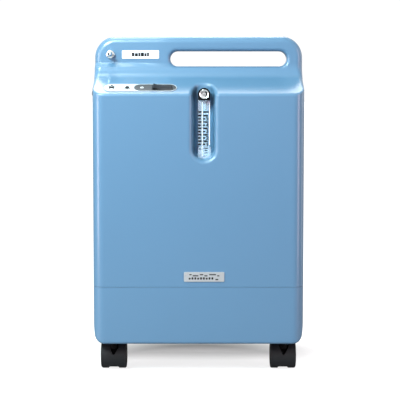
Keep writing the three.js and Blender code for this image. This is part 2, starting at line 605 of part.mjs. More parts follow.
const tank = turned([[0, 160], [TANK.r - 8, 160], [TANK.r, 170], [TANK.r, 330], [TANK.r - 8, 340],
  [0, 340]], 'z', 20);
place('product_tank', tank.translate(TANK.x, TANK.y, 0), ALUMINIUM);
const regulator = join(
  cylinder(14, 340 + GAP, 372, 'z', 16).translate(TANK.x, TANK.y, 0),
  cylinder(5, TANK.y - 34, TANK.y, 'y', 10).translate(TANK.x, 0, 357),
);
place('pressure_regulator', regulator, CHROME);
const inletFilter = turned([[0, 0], [34, 0], [34, 60], [20, 66], [8, 66], [8, 78], [0, 78]], 'z', 18);
place('inlet_filter', inletFilter.translate(-130, 55, 300), WHITE);

// ---- electrics ----
place('run_capacitor', cylinder(21, trayTop + GAP, 150, 'z', 14).translate(50, -80, 0), ALUMINIUM);
const boardParts = join(
  block(-160, -60, -60, -58.4, 372, 462),
  block(-150, -130, -59, -46, 380, 400),
  block(-120, -80, -59, -40, 384, 414),
  block(-150, -100, -59, -50, 430, 450),
);
place('circuit_board', boardParts, BOARD);

// ---- pipes and hoses ----
const COIL = { turns: 3, r: 17, pitch: 11, x: -50, y: 84, z: 200, perTurn: 9 };
const coilPoints = Array.from({ length: COIL.turns * COIL.perTurn + 1 }, (_, i) => {
  const angle = (i * 2 * Math.PI) / COIL.perTurn;
  return [COIL.x + (i * COIL.pitch) / COIL.perTurn, COIL.y - COIL.r + COIL.r * Math.cos(angle),
    COIL.z + COIL.r * Math.sin(angle)];
});
place('cooling_coil', hose(coilPoints, 3, COIL.turns * COIL.perTurn), COPPER);
const hoses = [
  ['hose_filter_to_compressor', RUBBER, 4.5, 18, [[-130, 55, 379], [-130, 55, 392], [-138, 10, 392],
    [-140, -40, 340], [-140, -60, 250], [-112, -58, 212], [-111, -38, 205]]],
  ['hose_tank_to_meter', CLEAR, 3.5, 14, [[40, 20, 357], [40, -10, 357], [28, -40, 375],
    [12, -60, 390], [10, -66, 392]]],
  ['hose_meter_to_outlet', CLEAR, 3, 20, [[10, -66, 493], [10, -54, 492], [-30, -42, 490],
    [-110, -40, 500], [-150, -30, 524], [-156, -19, 547], [-156.6, -18.5, 560.5], [-156.0, -28.6, 563.5]]],
];
hoses.forEach(([name, look, radius, steps, points]) => place(name, hose(points, radius, steps), look));

export default root;
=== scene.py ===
"""The looks of an oxygen concentrator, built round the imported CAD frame. Blender 4.5, metres."""
import math

import bmesh
import bpy
import numpy as np
import openvdb
from mathutils import Matrix, Vector


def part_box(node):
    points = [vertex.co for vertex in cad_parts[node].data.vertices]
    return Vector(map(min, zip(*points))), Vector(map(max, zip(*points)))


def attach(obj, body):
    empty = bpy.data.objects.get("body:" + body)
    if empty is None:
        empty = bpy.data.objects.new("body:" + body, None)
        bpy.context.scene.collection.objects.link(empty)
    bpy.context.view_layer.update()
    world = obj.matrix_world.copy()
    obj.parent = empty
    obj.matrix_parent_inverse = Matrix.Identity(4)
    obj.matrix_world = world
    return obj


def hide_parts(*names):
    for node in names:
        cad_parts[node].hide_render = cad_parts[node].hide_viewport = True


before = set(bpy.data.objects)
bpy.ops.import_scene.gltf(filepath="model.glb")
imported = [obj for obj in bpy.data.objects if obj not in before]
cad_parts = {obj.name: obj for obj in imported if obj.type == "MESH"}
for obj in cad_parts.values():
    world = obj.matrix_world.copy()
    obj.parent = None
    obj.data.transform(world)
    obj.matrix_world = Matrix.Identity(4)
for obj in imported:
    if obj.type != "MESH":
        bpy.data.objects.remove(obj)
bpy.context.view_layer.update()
MM = 0.001

# ---- driving dimensions, from the frame ----
front_low, front_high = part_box("front_shell")
rear_low, rear_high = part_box("rear_shell")
tub_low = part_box("base_tub")[0]
HALF = front_high.x  # half the casing's width
FRONT = front_low.y
REAR = rear_high.y
BASE_Z = tub_low.z
TOP_Z = front_high.z + 1.5 * MM  # the bar is a little deeper than the frame's
SEAM_TOP = front_low.z
SEAM_GAP = 0.5 * MM
SPLIT_Y = (front_high.y + rear_low.y) / 2
SPLIT_GAP = 0.3 * MM

# ---- the casing's form, as in the CAD source but with softer edges ----
CORNER_R = 20 * MM
FOOT_R = 19 * MM
SHOULDER_R = 38 * MM
LIP_Z = 493 * MM
SHELF_TILT = math.radians(28)
SWEEP_R = 30 * MM
WALL_FRONT = -53 * MM
WALL_REAR = -9 * MM
BAR_R = 12 * MM
DECK_Z = 498 * MM
DECK_R = 14 * MM
REAR_SWEEP_R = 30 * MM
SHELL = 3.5 * MM
HOLE = {"x": (-50.5 * MM, 158.5 * MM), "z": (542 * MM, 569 * MM)}
HOLE_EDGE = 6.5 * MM
METER_X = 10 * MM
# The meter's recess: half widths at its mouth and back, its round ends' centres, its back wall and its lip.
POCKET = {"x": 9.2 * MM, "mouth": 20.5 * MM, "inner": 16 * MM, "foot": 397.5 * MM, "roof": 494.5 * MM,
          "back": -86 * MM, "lip": 7 * MM}
POCKET_FLOOR_R = 5 * MM
# Left of x the handle's front face is turned back. Its ledge rises from z0 to z1.
PORT = {"x": -60 * MM, "turn": math.radians(5.2), "z0": 539.5 * MM, "z1": 549 * MM}
PORT_BEND = 10 * MM  # how softly the face turns back
# Rounding of the crown's edges in mm: at the lip, then what the sweep and the port add.
LIP_EDGE, SWEEP_EDGE, PORT_EDGE = 2.5, 5, 4.5
SWEEP_MIDDLE_Z = 520 * MM
DECK_EASE = (30 * MM, 70 * MM)  # y over which the edges widen to the deck's
FOOT_EDGE = 4 * MM
SWEEP_Y = WALL_FRONT - SWEEP_R
SWEEP_Z = LIP_Z + (SWEEP_Y - FRONT) * math.tan(SHELF_TILT) + SWEEP_R / math.cos(SHELF_TILT)

# ---- materials ----
def srgb(red, green, blue):
    """A linear colour from 8-bit sRGB numbers."""
    linear = [((c / 255 + 0.055) / 1.055) ** 2.4 for c in (red, green, blue)]
    return (*linear, 1.0)


class Shader:
    """A Principled material whose node inputs are set or linked by name."""

    def __init__(self, name, color, roughness, metallic=0.0):
        self.name = name
        self.material = bpy.data.materials.new(name)
        self.material.use_nodes = True
        self.tree = self.material.node_tree
        self.principled = self.tree.nodes["Principled BSDF"]
        self.place = self.add("ShaderNodeTexCoord").outputs["Object"]
        self.color = color
        self.set("Base Color", color)
        self.set("Roughness", roughness)
        self.set("Metallic", metallic)
        self.normal = None

    def add(self, kind, **inputs):
        node = self.tree.nodes.new(kind)
        for key, value in inputs.items():
            self.feed(node.inputs[key.replace("_", " ")], value)
        return node

    def feed(self, socket, value):
        if isinstance(value, bpy.types.NodeSocket):
            self.tree.links.new(value, socket)
        else:
            socket.default_value = value

    def set(self, name, value):
        self.feed(self.principled.inputs[name], value)

    def noise(self, scale, detail=2.0, stretch=(1, 1, 1)):
        """A noise from 0 to 1, in cycles per metre, stretched along the axes."""
        spread = self.add("ShaderNodeMapping", Vector=self.place, Scale=stretch)
        texture = self.add("ShaderNodeTexNoise", Vector=spread.outputs[0], Scale=scale, Detail=detail)
        return texture.outputs["Fac"]

    def ramp(self, factor, low, high):
        """Maps 0..1 to low..high."""
        node = self.add("ShaderNodeMapRange", Value=factor, To_Min=low, To_Max=high)
        return node.outputs["Result"]

    def mottle(self, scale, amount):
        """Slow variation in lightness."""
        lightness = self.ramp(self.noise(scale, 3.0), 1 - amount, 1 + amount)
        varied = self.add("ShaderNodeHueSaturation", Value=lightness, Color=self.color)
        self.set("Base Color", varied.outputs["Color"])

    def vary_roughness(self, scale, low, high, stretch=(1, 1, 1)):
        self.set("Roughness", self.ramp(self.noise(scale, 3.0, stretch), low, high))

    def bump(self, height, distance, strength=1.0):
        """Adds relief; several calls stack up."""
        node = self.add("ShaderNodeBump", Height=height, Distance=distance, Strength=strength)
        if self.normal is not None:
            self.feed(node.inputs["Normal"], self.normal)
        self.normal = node.outputs["Normal"]
        self.set("Normal", self.normal)

    def soften_edges(self, radius):
        """Rounds the sharp edges of a CAD node in the shading."""
        self.normal = self.add("ShaderNodeBevel", Radius=radius).outputs["Normal"]
        self.set("Normal", self.normal)


def moulded(name, color, rough, grain=1800, depth=0.02, mottle=0.02, edges=0.0):
    """Moulded plastic: fine texture, faint flow marks, uneven sheen."""
    look = Shader(name, color, rough)
    if edges:
        look.soften_edges(edges)
    look.mottle(9, mottle)
    look.vary_roughness(40, rough * 0.9, rough * 1.12)
    look.bump(look.noise(grain, 3.0), depth * MM, 0.6)
    return look


def turned_metal(name, color, rough, stretch=(1, 1, 1), edges=0.0, scale=900):
    """Metal with fine marks that run across the stretched axis."""
    look = Shader(name, color, rough, 1.0)
    if edges:
        look.soften_edges(edges)
    look.mottle(25, 0.05)
    look.vary_roughness(scale, rough * 0.75, rough * 1.3, stretch)
    look.bump(look.noise(scale, 2.0, stretch), 0.01 * MM, 0.4)
    return look


def clear_plastic(name, color, rough, transmission):
    """Clear acrylic or vinyl, faintly wavy."""
    look = Shader(name, color, rough)
    look.set("IOR", 1.49)
    look.set("Transmission Weight", transmission)
    look.vary_roughness(120, rough * 0.6, rough * 1.6)
    look.bump(look.noise(90, 1.0), 0.05 * MM, 0.3)
    return look


def foam_material(name):
    """Open-cell foam: round pores darkened with painted shade, between lighter struts."""
    look = Shader(name, srgb(66, 69, 72), 0.95)
    cells = look.add("ShaderNodeTexVoronoi", Vector=look.place, Scale=700.0).outputs["Distance"]
    # painted shade: darker towards each pore's middle, lighter on the struts
    look.set("Base Color", look.add("ShaderNodeHueSaturation", Color=look.color,
                                    Value=look.ramp(cells, 0.35, 1.5)).outputs["Color"])
    look.bump(cells, 0.8 * MM)
    return look


def board_material(name):
    """A circuit board's solder mask over copper tracks."""
    look = Shader(name, srgb(38, 96, 58), 0.35)
    tracks = look.add("ShaderNodeTexBrick", Vector=look.place, Scale=90.0,
                      Color1=srgb(44, 108, 66), Color2=srgb(34, 90, 52), Mortar=srgb(70, 138, 84))
    look.set("Base Color", tracks.outputs["Color"])
    look.bump(tracks.outputs["Fac"], 0.05 * MM)
    return look


LOOKS = {look.name: look for look in (
    moulded("casing_blue", srgb(74, 111, 139), 0.38, 1500, 0.01, 0.012),
    moulded("panel_white", srgb(240, 243, 245), 0.3, 2500, 0.006, 0.01, 0.4 * MM),
    moulded("panel_grey", srgb(176, 185, 190), 0.34, 2500, 0.006, 0.01, 0.4 * MM),
    moulded("surround_grey", srgb(56, 59, 62), 0.42, 2200, 0.02),
    moulded("switch_black", srgb(22, 23, 25), 0.36, 2200, 0.02, 0.05, 0.5 * MM),
    moulded("switch_top", srgb(32, 34, 37), 0.4, 2200, 0.02),
    turned_metal("fitting_chrome", srgb(226, 229, 231), 0.12),
    turned_metal("aluminium", srgb(196, 199, 202), 0.36, (1, 1, 0.05), 0.8 * MM),
    turned_metal("badge_metal", srgb(218, 221, 224), 0.3, (0.03, 1, 1)),
    clear_plastic("clear_block", srgb(204, 226, 236), 0.05, 0.8),
    moulded("float_black", srgb(24, 24, 25), 0.15, 3000, 0.004),
    foam_material("foam"),
    turned_metal("steel", srgb(176, 180, 184), 0.34, (1, 1, 1), 0.5 * MM, 300),
    board_material("board_green"),
    turned_metal("copper", srgb(196, 122, 84), 0.28, (1, 1, 1)),
    moulded("rubber", srgb(30, 30, 31), 0.78, 1500, 0.05, 0.06),
    clear_plastic("clear_hose", srgb(226, 232, 234), 0.2, 0.6),
    moulded("caster_black", srgb(24, 25, 27), 0.5, 1700, 0.02, 0.05),
    moulded("wheel_black", srgb(15, 16, 17), 0.5, 1400, 0.03, 0.06),
    # The deepest, dullest black: the knob's own black, and painted shade on the casters' stems and webs for
    # the dark hollow in each hood's notch
    moulded("stem_black", srgb(9, 9, 10), 0.8, 1400, 0.03),
    moulded("label_white", srgb(218, 222, 226), 0.4, 2500, 0.006),
    moulded("print_black", srgb(22, 24, 27), 0.5, 2500, 0.004),
)}
DULL = {"stem_black": 0.08, "caster_black": 0.25, "surround_grey": 0.3, "print_black": 0.1,
        "switch_black": 0.3, "switch_top": 0.3}
for dull, level in DULL.items():
    LOOKS[dull].set("Specular IOR Level", level)
LOOKS["casing_blue"].set("Coat Weight", 0.35)
LOOKS["casing_blue"].set("Coat Roughness", 0.16)


# ---- piece building ----
def finish_piece(piece, body, slot, look=None, nodes=()):
    """Gives a piece its material and body, and hides the CAD nodes that it stands for."""
    piece.data.materials.clear()
    piece.data.materials.append(LOOKS[look or slot].material)
    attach(piece, body)
    if nodes:
        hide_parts(*nodes)
    return piece


def link(name, data):
    """A new object in the scene that holds a mesh, a curve, a text or a lamp."""
    piece = bpy.data.objects.new(name, data)
    bpy.context.scene.collection.objects.link(piece)
    return piece


def evaluated_mesh(piece):
    """A new mesh of the piece as its curve or modifiers shape it."""
    return bpy.data.meshes.new_from_object(piece.evaluated_get(bpy.context.evaluated_depsgraph_get()))


def mesh_of(curve_piece):
    """The mesh of a curve or text, which is used up."""
    mesh = evaluated_mesh(curve_piece)
    bpy.data.objects.remove(curve_piece)
    return mesh


def modify(piece, kind, **settings):
    """Adds one modifier and applies it."""
    modifier = piece.modifiers.new(kind.lower(), kind)
    for key, value in settings.items():
        setattr(modifier, key, value)
    mesh = evaluated_mesh(piece)
    piece.modifiers.clear()
    old = piece.data
    piece.data = mesh
    bpy.data.meshes.remove(old)
    return piece


def shade(piece, sharp=35):
    """Smooth shading that breaks at corners, with flat faces keeping their own normals."""
    piece.data.shade_smooth()
    piece.data.set_sharp_from_angle(angle=math.radians(sharp))
    return modify(piece, "WEIGHTED_NORMAL", keep_sharp=True, weight=90)


def bevel(piece, width, segments=3, angle=35):
    return modify(piece, "BEVEL", width=width, segments=segments, limit_method="ANGLE",
                  angle_limit=math.radians(angle), use_clamp_overlap=True)


def cut(piece, *cutters):
    """Subtracts the cutters, which are used up."""
    for cutter in cutters:
        modify(piece, "BOOLEAN", operation="DIFFERENCE", solver="MANIFOLD", object=cutter)
        bpy.data.objects.remove(cutter)
    return piece


def join(piece, *others):
    """Adds the others' meshes to the piece. The others are used up."""
    merged = bmesh.new()
    for part in (piece, *others):
        merged.from_mesh(part.data)
    merged.to_mesh(piece.data)
    merged.free()
    for part in others:
        bpy.data.objects.remove(part)
    return piece


def box_piece(name, low, high, matrix=Matrix()):
    form = bmesh.new()
    bmesh.ops.create_cube(form, size=1)
    size = [b - a for a, b in zip(low, high)]
    centre = [(a + b) / 2 for a, b in zip(low, high)]
    form.transform(matrix @ Matrix.Translation(centre) @ Matrix.Diagonal((*size, 1)))
    mesh = bpy.data.meshes.new(name)
    form.to_mesh(mesh)
    form.free()
    return link(name, mesh)


def turned(name, profile, matrix=Matrix(), segments=64):
    """A turned piece about Z: (radius, height) points, from axis to axis."""
    form = bmesh.new()
    verts = [form.verts.new((r, 0, z)) for r, z in profile]
    edges = [form.edges.new(pair) for pair in zip(verts, verts[1:])]
    bmesh.ops.spin(form, geom=verts + edges, axis=(0, 0, 1), cent=(0, 0, 0),
                   steps=segments, angle=2 * math.pi, use_duplicate=False)
    bmesh.ops.remove_doubles(form, verts=form.verts, dist=1e-6)
    bmesh.ops.recalc_face_normals(form, faces=form.faces)
    form.transform(matrix)
    mesh = bpy.data.meshes.new(name)
    form.to_mesh(mesh)
    form.free()
    return link(name, mesh)


def in_mm(points):
    """Outline points given in millimetres."""
    return [(u * MM, v * MM) for u, v in points]


def arc(cx, cy, r, start, end, steps=12):
    """Points on an arc, angles in degrees."""
    angles = np.radians(np.linspace(start, end, steps + 1))
    return [(cx + r * math.cos(a), cy + r * math.sin(a)) for a in angles]


def rounded(x0, x1, y0, y1, r, steps=12):
    """A closed rounded rectangle."""
    return (arc(x1 - r, y0 + r, r, -90, 0, steps) + arc(x1 - r, y1 - r, r, 0, 90, steps)
            + arc(x0 + r, y1 - r, r, 90, 180, steps) + arc(x0 + r, y0 + r, r, 180, 270, steps))


def plate(name, loops, low, high, edge, matrix=Matrix()):
    """A plate with rounded edges from closed outlines in (x, y), the first outside, any others holes."""
    curve = bpy.data.curves.new(name, "CURVE")
    curve.dimensions = "2D"
    curve.fill_mode = "BOTH"
    for loop in loops:
        spline = curve.splines.new("POLY")
        spline.points.add(len(loop) - 1)
        spline.points.foreach_set("co", [c for x, y in loop for c in (x, y, 0, 1)])
        spline.use_cyclic_u = True
    curve.extrude = (high - low) / 2 - edge
    curve.bevel_depth = edge
    curve.bevel_resolution = 3
    curve.offset = -edge
    mesh = mesh_of(link(name, curve))
    mesh.transform(matrix @ Matrix.Translation((0, 0, (low + high) / 2)))
    form = bmesh.new()
    form.from_mesh(mesh)
    bmesh.ops.remove_doubles(form, verts=form.verts, dist=1e-6)
    bmesh.ops.recalc_face_normals(form, faces=form.faces)
    form.to_mesh(mesh)
    form.free()
    return link(name, mesh)


# Frames for pieces: a plate's (x, y, z) becomes (right, up, towards the viewer) and so on.
FACING_FRONT = Matrix(((1, 0, 0, 0), (0, 0, -1, 0), (0, 1, 0, 0), (0, 0, 0, 1)))
FACING_LEFT = Matrix(((0, 0, -1, 0), (-1, 0, 0, 0), (0, 1, 0, 0), (0, 0, 0, 1)))
FACING_REAR = Matrix(((-1, 0, 0, 0), (0, 0, 1, 0), (0, 1, 0, 0), (0, 0, 0, 1)))
ACROSS = Matrix(((0, 0, 1, 0), (1, 0, 0, 0), (0, 1, 0, 0), (0, 0, 0, 1)))  # (y, z) outlines along X
ON_SHELF = Matrix.Translation((0, FRONT, LIP_Z)) @ Matrix.Rotation(SHELF_TILT, 4, "X")


def at(x, y, z, facing=Matrix()):
    return Matrix.Translation((x, y, z)) @ facing


def raised(matrix, height):
    """The same frame moved outwards, to stand a mark on a plate's top."""
    return matrix @ Matrix.Translation((0, 0, height))


# ---- the casing's surface, as a distance field ----
def polygon_distance(points, u, v):
    """Signed distance to a closed outline, negative inside."""
    u, v = np.broadcast_arrays(u, v)
    nearest = np.full(u.shape, 1e9)
    inside = np.zeros(u.shape, bool)
    for (au, av), (bu, bv) in zip(points, points[1:] + points[:1]):
        du, dv = bu - au, bv - av
        along = np.clip(((u - au) * du + (v - av) * dv) / (du * du + dv * dv + 1e-18), 0, 1)
        nearest = np.minimum(nearest, (u - au - along * du) ** 2 + (v - av - along * dv) ** 2)
        if av != bv:
            crossing = (av > v) != (bv > v)
            inside ^= crossing & (u < au + (v - av) * du / dv)
    distance = np.sqrt(nearest)
    return np.where(inside, -distance, distance)


def box_distance(u, v, centre_u, centre_v, half_u, half_v, r):
    """Signed distance to a rounded rectangle."""
    qu = np.abs(u - centre_u) - half_u + r
    qv = np.abs(v - centre_v) - half_v + r
    return np.hypot(np.maximum(qu, 0), np.maximum(qv, 0)) + np.minimum(np.maximum(qu, qv), 0) - r


def both(a, b, r):
    """Where two solids meet, with the outer edge rounded to r."""
    return np.minimum(-r, np.maximum(a, b)) + np.hypot(np.maximum(r + a, 0), np.maximum(r + b, 0))


def smooth(value, low, high):
    t = np.clip((value - low) / (high - low), 0, 1)
    return t * t * (3 - 2 * t)


def ramp_up(value, low, high, ease=0.15):
    """From 0 to 1 along a straight slope with short eased ends."""
    t = np.clip((value - low) / (high - low), 0, 1)
    lead, tail = np.minimum(t, ease), np.maximum(t - 1 + ease, 0)
    return (t - lead + (lead ** 2 - tail ** 2) / (2 * ease)) / (1 - ease)


def crown_outline():
    """Shelf, sweep, handle wall and rear deck in (y, z), left open past the casing on every other side."""
    tilt = math.degrees(SHELF_TILT)
    far = 0.3
    rear_y = WALL_REAR + REAR_SWEEP_R
    shelf_end = (-far, LIP_Z + (-far - FRONT) * math.tan(SHELF_TILT))
    return ([(-far, -far), (far, -far), (far, DECK_Z)]
            + arc(rear_y, DECK_Z + REAR_SWEEP_R, REAR_SWEEP_R, -90, -180, 24)
            + [(WALL_REAR, 1.0), (WALL_FRONT, 1.0)]
            + arc(SWEEP_Y, SWEEP_Z, SWEEP_R, 0, tilt - 90, 24) + [shelf_end])


def foot_outline():
    """The underside and the bottom corners in (|x|, z), widening above them past the casing."""
    turn = 78
    corner = arc(HALF - FOOT_R, BASE_Z + FOOT_R, FOOT_R, -90, turn - 90, 16)
    x, z = corner[-1]
    lean = math.radians(turn)
    reach = 0.05
    return ([(-0.3, BASE_Z)] + corner
            + [(x + reach * math.cos(lean), z + reach * math.sin(lean)), (0.6, 1.0), (-0.3, 1.0)])


CROWN = crown_outline()
FOOT = foot_outline()


def casing_distance(x, y, z):
    """Signed distance to the whole casing's outer surface, negative inside."""
    plan = box_distance(x, y, 0, 0, HALF, -FRONT, CORNER_R)
    crown = polygon_distance(CROWN, y, z)
    foot = polygon_distance(FOOT, np.abs(x), z)
    edge = (LIP_EDGE + SWEEP_EDGE * smooth(z, LIP_Z + 5 * MM, SWEEP_MIDDLE_Z)
            + PORT_EDGE * smooth(z, SWEEP_MIDDLE_Z, PORT["z0"])) * MM
    edge = np.where(y > 0, edge + (DECK_R - edge) * smooth(y, *DECK_EASE), edge)
    body = both(both(plan, crown, edge), foot, FOOT_EDGE)
    wall = np.maximum(wall_face(x, z) - y, y - WALL_REAR)
    silhouette = box_distance(x, z, 0, TOP_Z - 0.2, HALF, 0.2, SHOULDER_R)
    solid = np.where(z > PORT["z0"], both(wall, silhouette, BAR_R), body)
    solid = both(solid, -handle_hole(x, z), HOLE_EDGE)
    return both(solid, -meter_recess(x, y, z), POCKET["lip"])


def wall_face(x, z):
    """Where the handle's front face is in y: above the hollow sweep, and turned back at the port."""
    below = np.minimum(z - SWEEP_Z, 0)
    sweep = SWEEP_Y + np.sqrt(np.maximum(SWEEP_R ** 2 - below ** 2, 0))
    beyond = PORT["x"] - x
    depth = (beyond + np.hypot(beyond, PORT_BEND)) / 2 * math.tan(PORT["turn"])
    return sweep + depth * ramp_up(z, PORT["z0"], PORT["z1"])


def handle_hole(x, z):
    """The handle's opening, round at both ends."""
    (x0, x1), (z0, z1) = HOLE["x"], HOLE["z"]
    half_z = (z1 - z0) / 2
    return box_distance(x, z, (x0 + x1) / 2, (z0 + z1) / 2, (x1 - x0) / 2, half_z, half_z)


def meter_recess(x, y, z):
    """The flow meter's recess: round at its foot and roof, narrowing towards its back."""
    deep = np.clip((y - FRONT) / (POCKET["back"] - FRONT), -0.1, 1)
    half = POCKET["mouth"] + (POCKET["inner"] - POCKET["mouth"]) * deep
    beyond = z - np.clip(z, POCKET["foot"], POCKET["roof"])
    return both(np.hypot(x - POCKET["x"], beyond) - half, y - POCKET["back"], POCKET_FLOOR_R)


def casing_surface(pitch):
    """A mesh of the casing's outer surface, its points moved onto the exact form."""
    low = np.array([-HALF, FRONT, BASE_Z]) - 3 * pitch
    high = np.array([HALF, REAR, TOP_Z]) + 3 * pitch
    x, y, z = (np.arange(a, b, pitch) for a, b in zip(low, high))
    field = casing_distance(x[:, None, None], y[None, :, None], z[None, None, :])
    grid = openvdb.FloatGrid(1.0)
    grid.copyFromArray(np.clip(field / pitch, -3, 3).astype(np.float32))
    points, triangles, quads = grid.convertToPolygons(0.0, 0.0)
    points = points.astype(float) * pitch + low
    reach = 0.05 * MM
    for _ in range(4):
        px, py, pz = points.T
        here = casing_distance(px, py, pz)
        slope = np.stack([casing_distance(px + reach, py, pz) - here,
                          casing_distance(px, py + reach, pz) - here,
                          casing_distance(px, py, pz + reach) - here], axis=1) / reach
        step = here[:, None] * slope / np.maximum((slope ** 2).sum(1, keepdims=True), 0.2)
        points -= np.clip(step, -pitch, pitch)
    mesh = bpy.data.meshes.new("casing_surface")
    mesh.from_pydata(points.tolist(), [], quads.tolist() + triangles.tolist())
    form = bmesh.new()
    form.from_mesh(mesh)
    bmesh.ops.recalc_face_normals(form, faces=form.faces)
    bmesh.ops.dissolve_limit(form, angle_limit=math.radians(0.25), verts=form.verts, edges=form.edges)
    form.to_mesh(mesh)
    form.free()
    return mesh


def slice_of(mesh, name, low, high, inward=0.0):
    """The part of a surface between two corners, where None is no limit, optionally drawn inwards."""
    form = bmesh.new()
    form.from_mesh(mesh)
    for axis in range(3):
        for corner, sign in ((low, -1), (high, 1)):
            if corner[axis] is None:
                continue
            point, normal = Vector(), Vector()
            point[axis] = corner[axis]
            normal[axis] = sign
            geometry = form.verts[:] + form.edges[:] + form.faces[:]
            bmesh.ops.bisect_plane(form, geom=geometry, plane_co=point, plane_no=normal, clear_outer=True)
    if inward:
        form.normal_update()
        moves = [(vert, vert.normal.copy()) for vert in form.verts]
        for vert, normal in moves:
            normal.z = 0
            vert.co -= normal.normalized() * inward
    part = bpy.data.meshes.new(name)
    form.to_mesh(part)
    form.free()
    return link(name, part)


def shell(surface, name, low, high):
    """One moulding of the casing, with its wall behind the outer surface."""
    piece = slice_of(surface, name, low, high)
    return modify(piece, "SOLIDIFY", thickness=SHELL, offset=-1, use_even_offset=True)


# ---- camera, light and floor ----
def aim(thing, target):
    thing.rotation_euler = (Vector(target) - thing.location).to_track_quat("-Z", "Y").to_euler()


def softbox(name, place, target, width, height, power, color=(1, 1, 1), spread=180):
    lamp = bpy.data.lights.new(name, "AREA")
    lamp.shape = "RECTANGLE"
    lamp.spread = math.radians(spread)
    lamp.size, lamp.size_y = width, height
    lamp.energy = power
    lamp.color = color
    light = link(name, lamp)
    light.location = place
    aim(light, target)
    return light


scene = bpy.context.scene
camera = link("camera", bpy.data.cameras.new("camera"))
scene.camera = camera
EYE = {"distance": 2.57, "height": 0.52, "pitch": math.radians(4.72), "lens": 132.3, "shift": 0.004}
camera.location = (0, FRONT - EYE["distance"], EYE["height"])
camera.rotation_euler = (math.pi / 2 - EYE["pitch"], 0, 0)
camera.data.lens = EYE["lens"]
camera.data.shift_x = EYE["shift"]
camera.data.clip_end = 50


def floor_paper():
    """Grey paper with a painted glow that only the camera sees, more so away from the object and towards its
    front: a painted shadow gradient that keeps its shadow pale.
    """
    paper = moulded("floor_paper", srgb(148, 148, 148), 0.8, 300, 0.01)
    seen = paper.add("ShaderNodeLightPath")
    depth = paper.add("ShaderNodeSeparateXYZ", Vector=paper.place).outputs["Y"]
    # painted shadow: the glow fades from in front of the object to nothing behind it
    painted_shadow_ramp = paper.add("ShaderNodeMapRange", Value=depth, From_Min=0.15, From_Max=0.0, To_Min=0.0, To_Max=0.8)
    reach = paper.add("ShaderNodeVectorMath", Vector=paper.place)
    reach.operation = "LENGTH"
    far = paper.add("ShaderNodeMapRange", Value=reach.outputs["Value"], From_Min=0.15, From_Max=0.3)
    painted_glow = paper.add("ShaderNodeMapRange", Value=far.outputs["Result"],
                     To_Min=painted_shadow_ramp.outputs["Result"], To_Max=1.0)
    lit = paper.add("ShaderNodeMath")
    lit.operation = "MULTIPLY"
    paper.feed(lit.inputs[0], painted_glow.outputs["Result"])
    paper.feed(lit.inputs[1], seen.outputs["Is Camera Ray"])
    paper.set("Emission Color", (1, 1, 1, 1))
    paper.set("Emission Strength", lit.outputs["Value"])
    return paper.material


def white_room(dimmed, bright):
    """A world that is bright to look at and in reflections, and dimmer as light."""
    world = bpy.data.worlds.new("white_room")
    world.use_nodes = True
    tree = world.node_tree
    sky = tree.nodes["Background"]
    sky.inputs["Color"].default_value = (1, 1, 1, 1)
    seen = tree.nodes.new("ShaderNodeLightPath")
    looked_at = tree.nodes.new("ShaderNodeMath")
    looked_at.operation = "MAXIMUM"
    level = tree.nodes.new("ShaderNodeMapRange")
    level.inputs["To Min"].default_value = dimmed
    level.inputs["To Max"].default_value = bright
    tree.links.new(seen.outputs["Is Camera Ray"], looked_at.inputs[0])
    tree.links.new(seen.outputs["Is Glossy Ray"], looked_at.inputs[1])
    tree.links.new(looked_at.outputs["Value"], level.inputs["Value"])
    tree.links.new(level.outputs["Result"], sky.inputs["Strength"])
    return world


floor = box_piece("floor", (-30, -30, -0.05), (30, 30, 0))
floor.data.materials.append(floor_paper())
scene.world = white_room(0.36, 1.05)
scene.view_settings.view_transform = "Standard"
softbox("key", (-0.8, -1.15, 1.35), (0, -0.1, 0.5), 0.6, 0.6, 55, (0.78, 1, 1.03))
softbox("overhead", (-0.45, -0.1, 1.9), (-0.2, 0, 0.5), 0.8, 0.4, 12, (0.85, 0.95, 0.85))
softbox("behind", (-0.1, 0.95, 1.75), (0, -0.08, 0.5), 1.6, 0.8, 2.5, spread=36)
low_front = softbox("low_front", (0, -2.4, 0.35), (0, 0, 0.2), 1.6, 0.5, 13, (1, 0.55, 0.72))
low_front.visible_glossy = False  # its pink would show in the chrome and the clear block
softbox("left_strip", (-2.0, -1.0, 0.5), (0, 0, 0.4), 0.5, 1.2, 26, (1, 0.8, 0.8))
softbox("right_strip", (1.5, -0.9, 0.6), (0, 0, 0.35), 0.4, 1.4, 14, (1, 0.75, 0.8))
softbox("right_rim", (1.6, 0.45, 0.5), (0.1, 0, 0.35), 0.5, 1.4, 6)

# ---- where fittings sit ----
TURN = Matrix.Rotation(-PORT["turn"], 4, "Z") @ FACING_FRONT


def on_port(x, z):
    """The frame of the turned-back face at x, z, with +Z outwards."""
    return at(x, float(wall_face(np.array(x), np.array(z))), z, TURN)


def centre_of(node):
    low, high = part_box(node)
    return (low + high) / 2


OUTLET = on_port(-157 * MM, 563.5 * MM)
LABEL = on_port(-103.5 * MM, 563 * MM)
RESET = at(-HALF, *centre_of("reset_button").yz, FACING_LEFT)
KNOB = at(METER_X, 0, centre_of("flow_knob").z, FACING_FRONT)
INLET_PIPE = at(METER_X, 0, 392 * MM, FACING_FRONT)  # where gas enters the meter's foot
PIPE_R, PIPE_HOLE_R = 3 * MM, 3.4 * MM
PANEL = {"x": (-166 * MM, -38 * MM), "u": (9 * MM, 35 * MM)}
SWITCH = {"x": (-81 * MM, -45.5 * MM), "u": (14 * MM, 30 * MM)}
door_low, door_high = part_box("filter_door")
inlet_low, inlet_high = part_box("power_inlet")
SCREWS = ["rear_screw_1", "rear_screw_2"]
CASTERS = ["front_left", "front_right", "rear_left", "rear_right"]


def on_rear(node):
    """A frame on the rear face at the node's place, with +Z outwards."""
    return at(centre_of(node).x, REAR, centre_of(node).z, FACING_REAR)


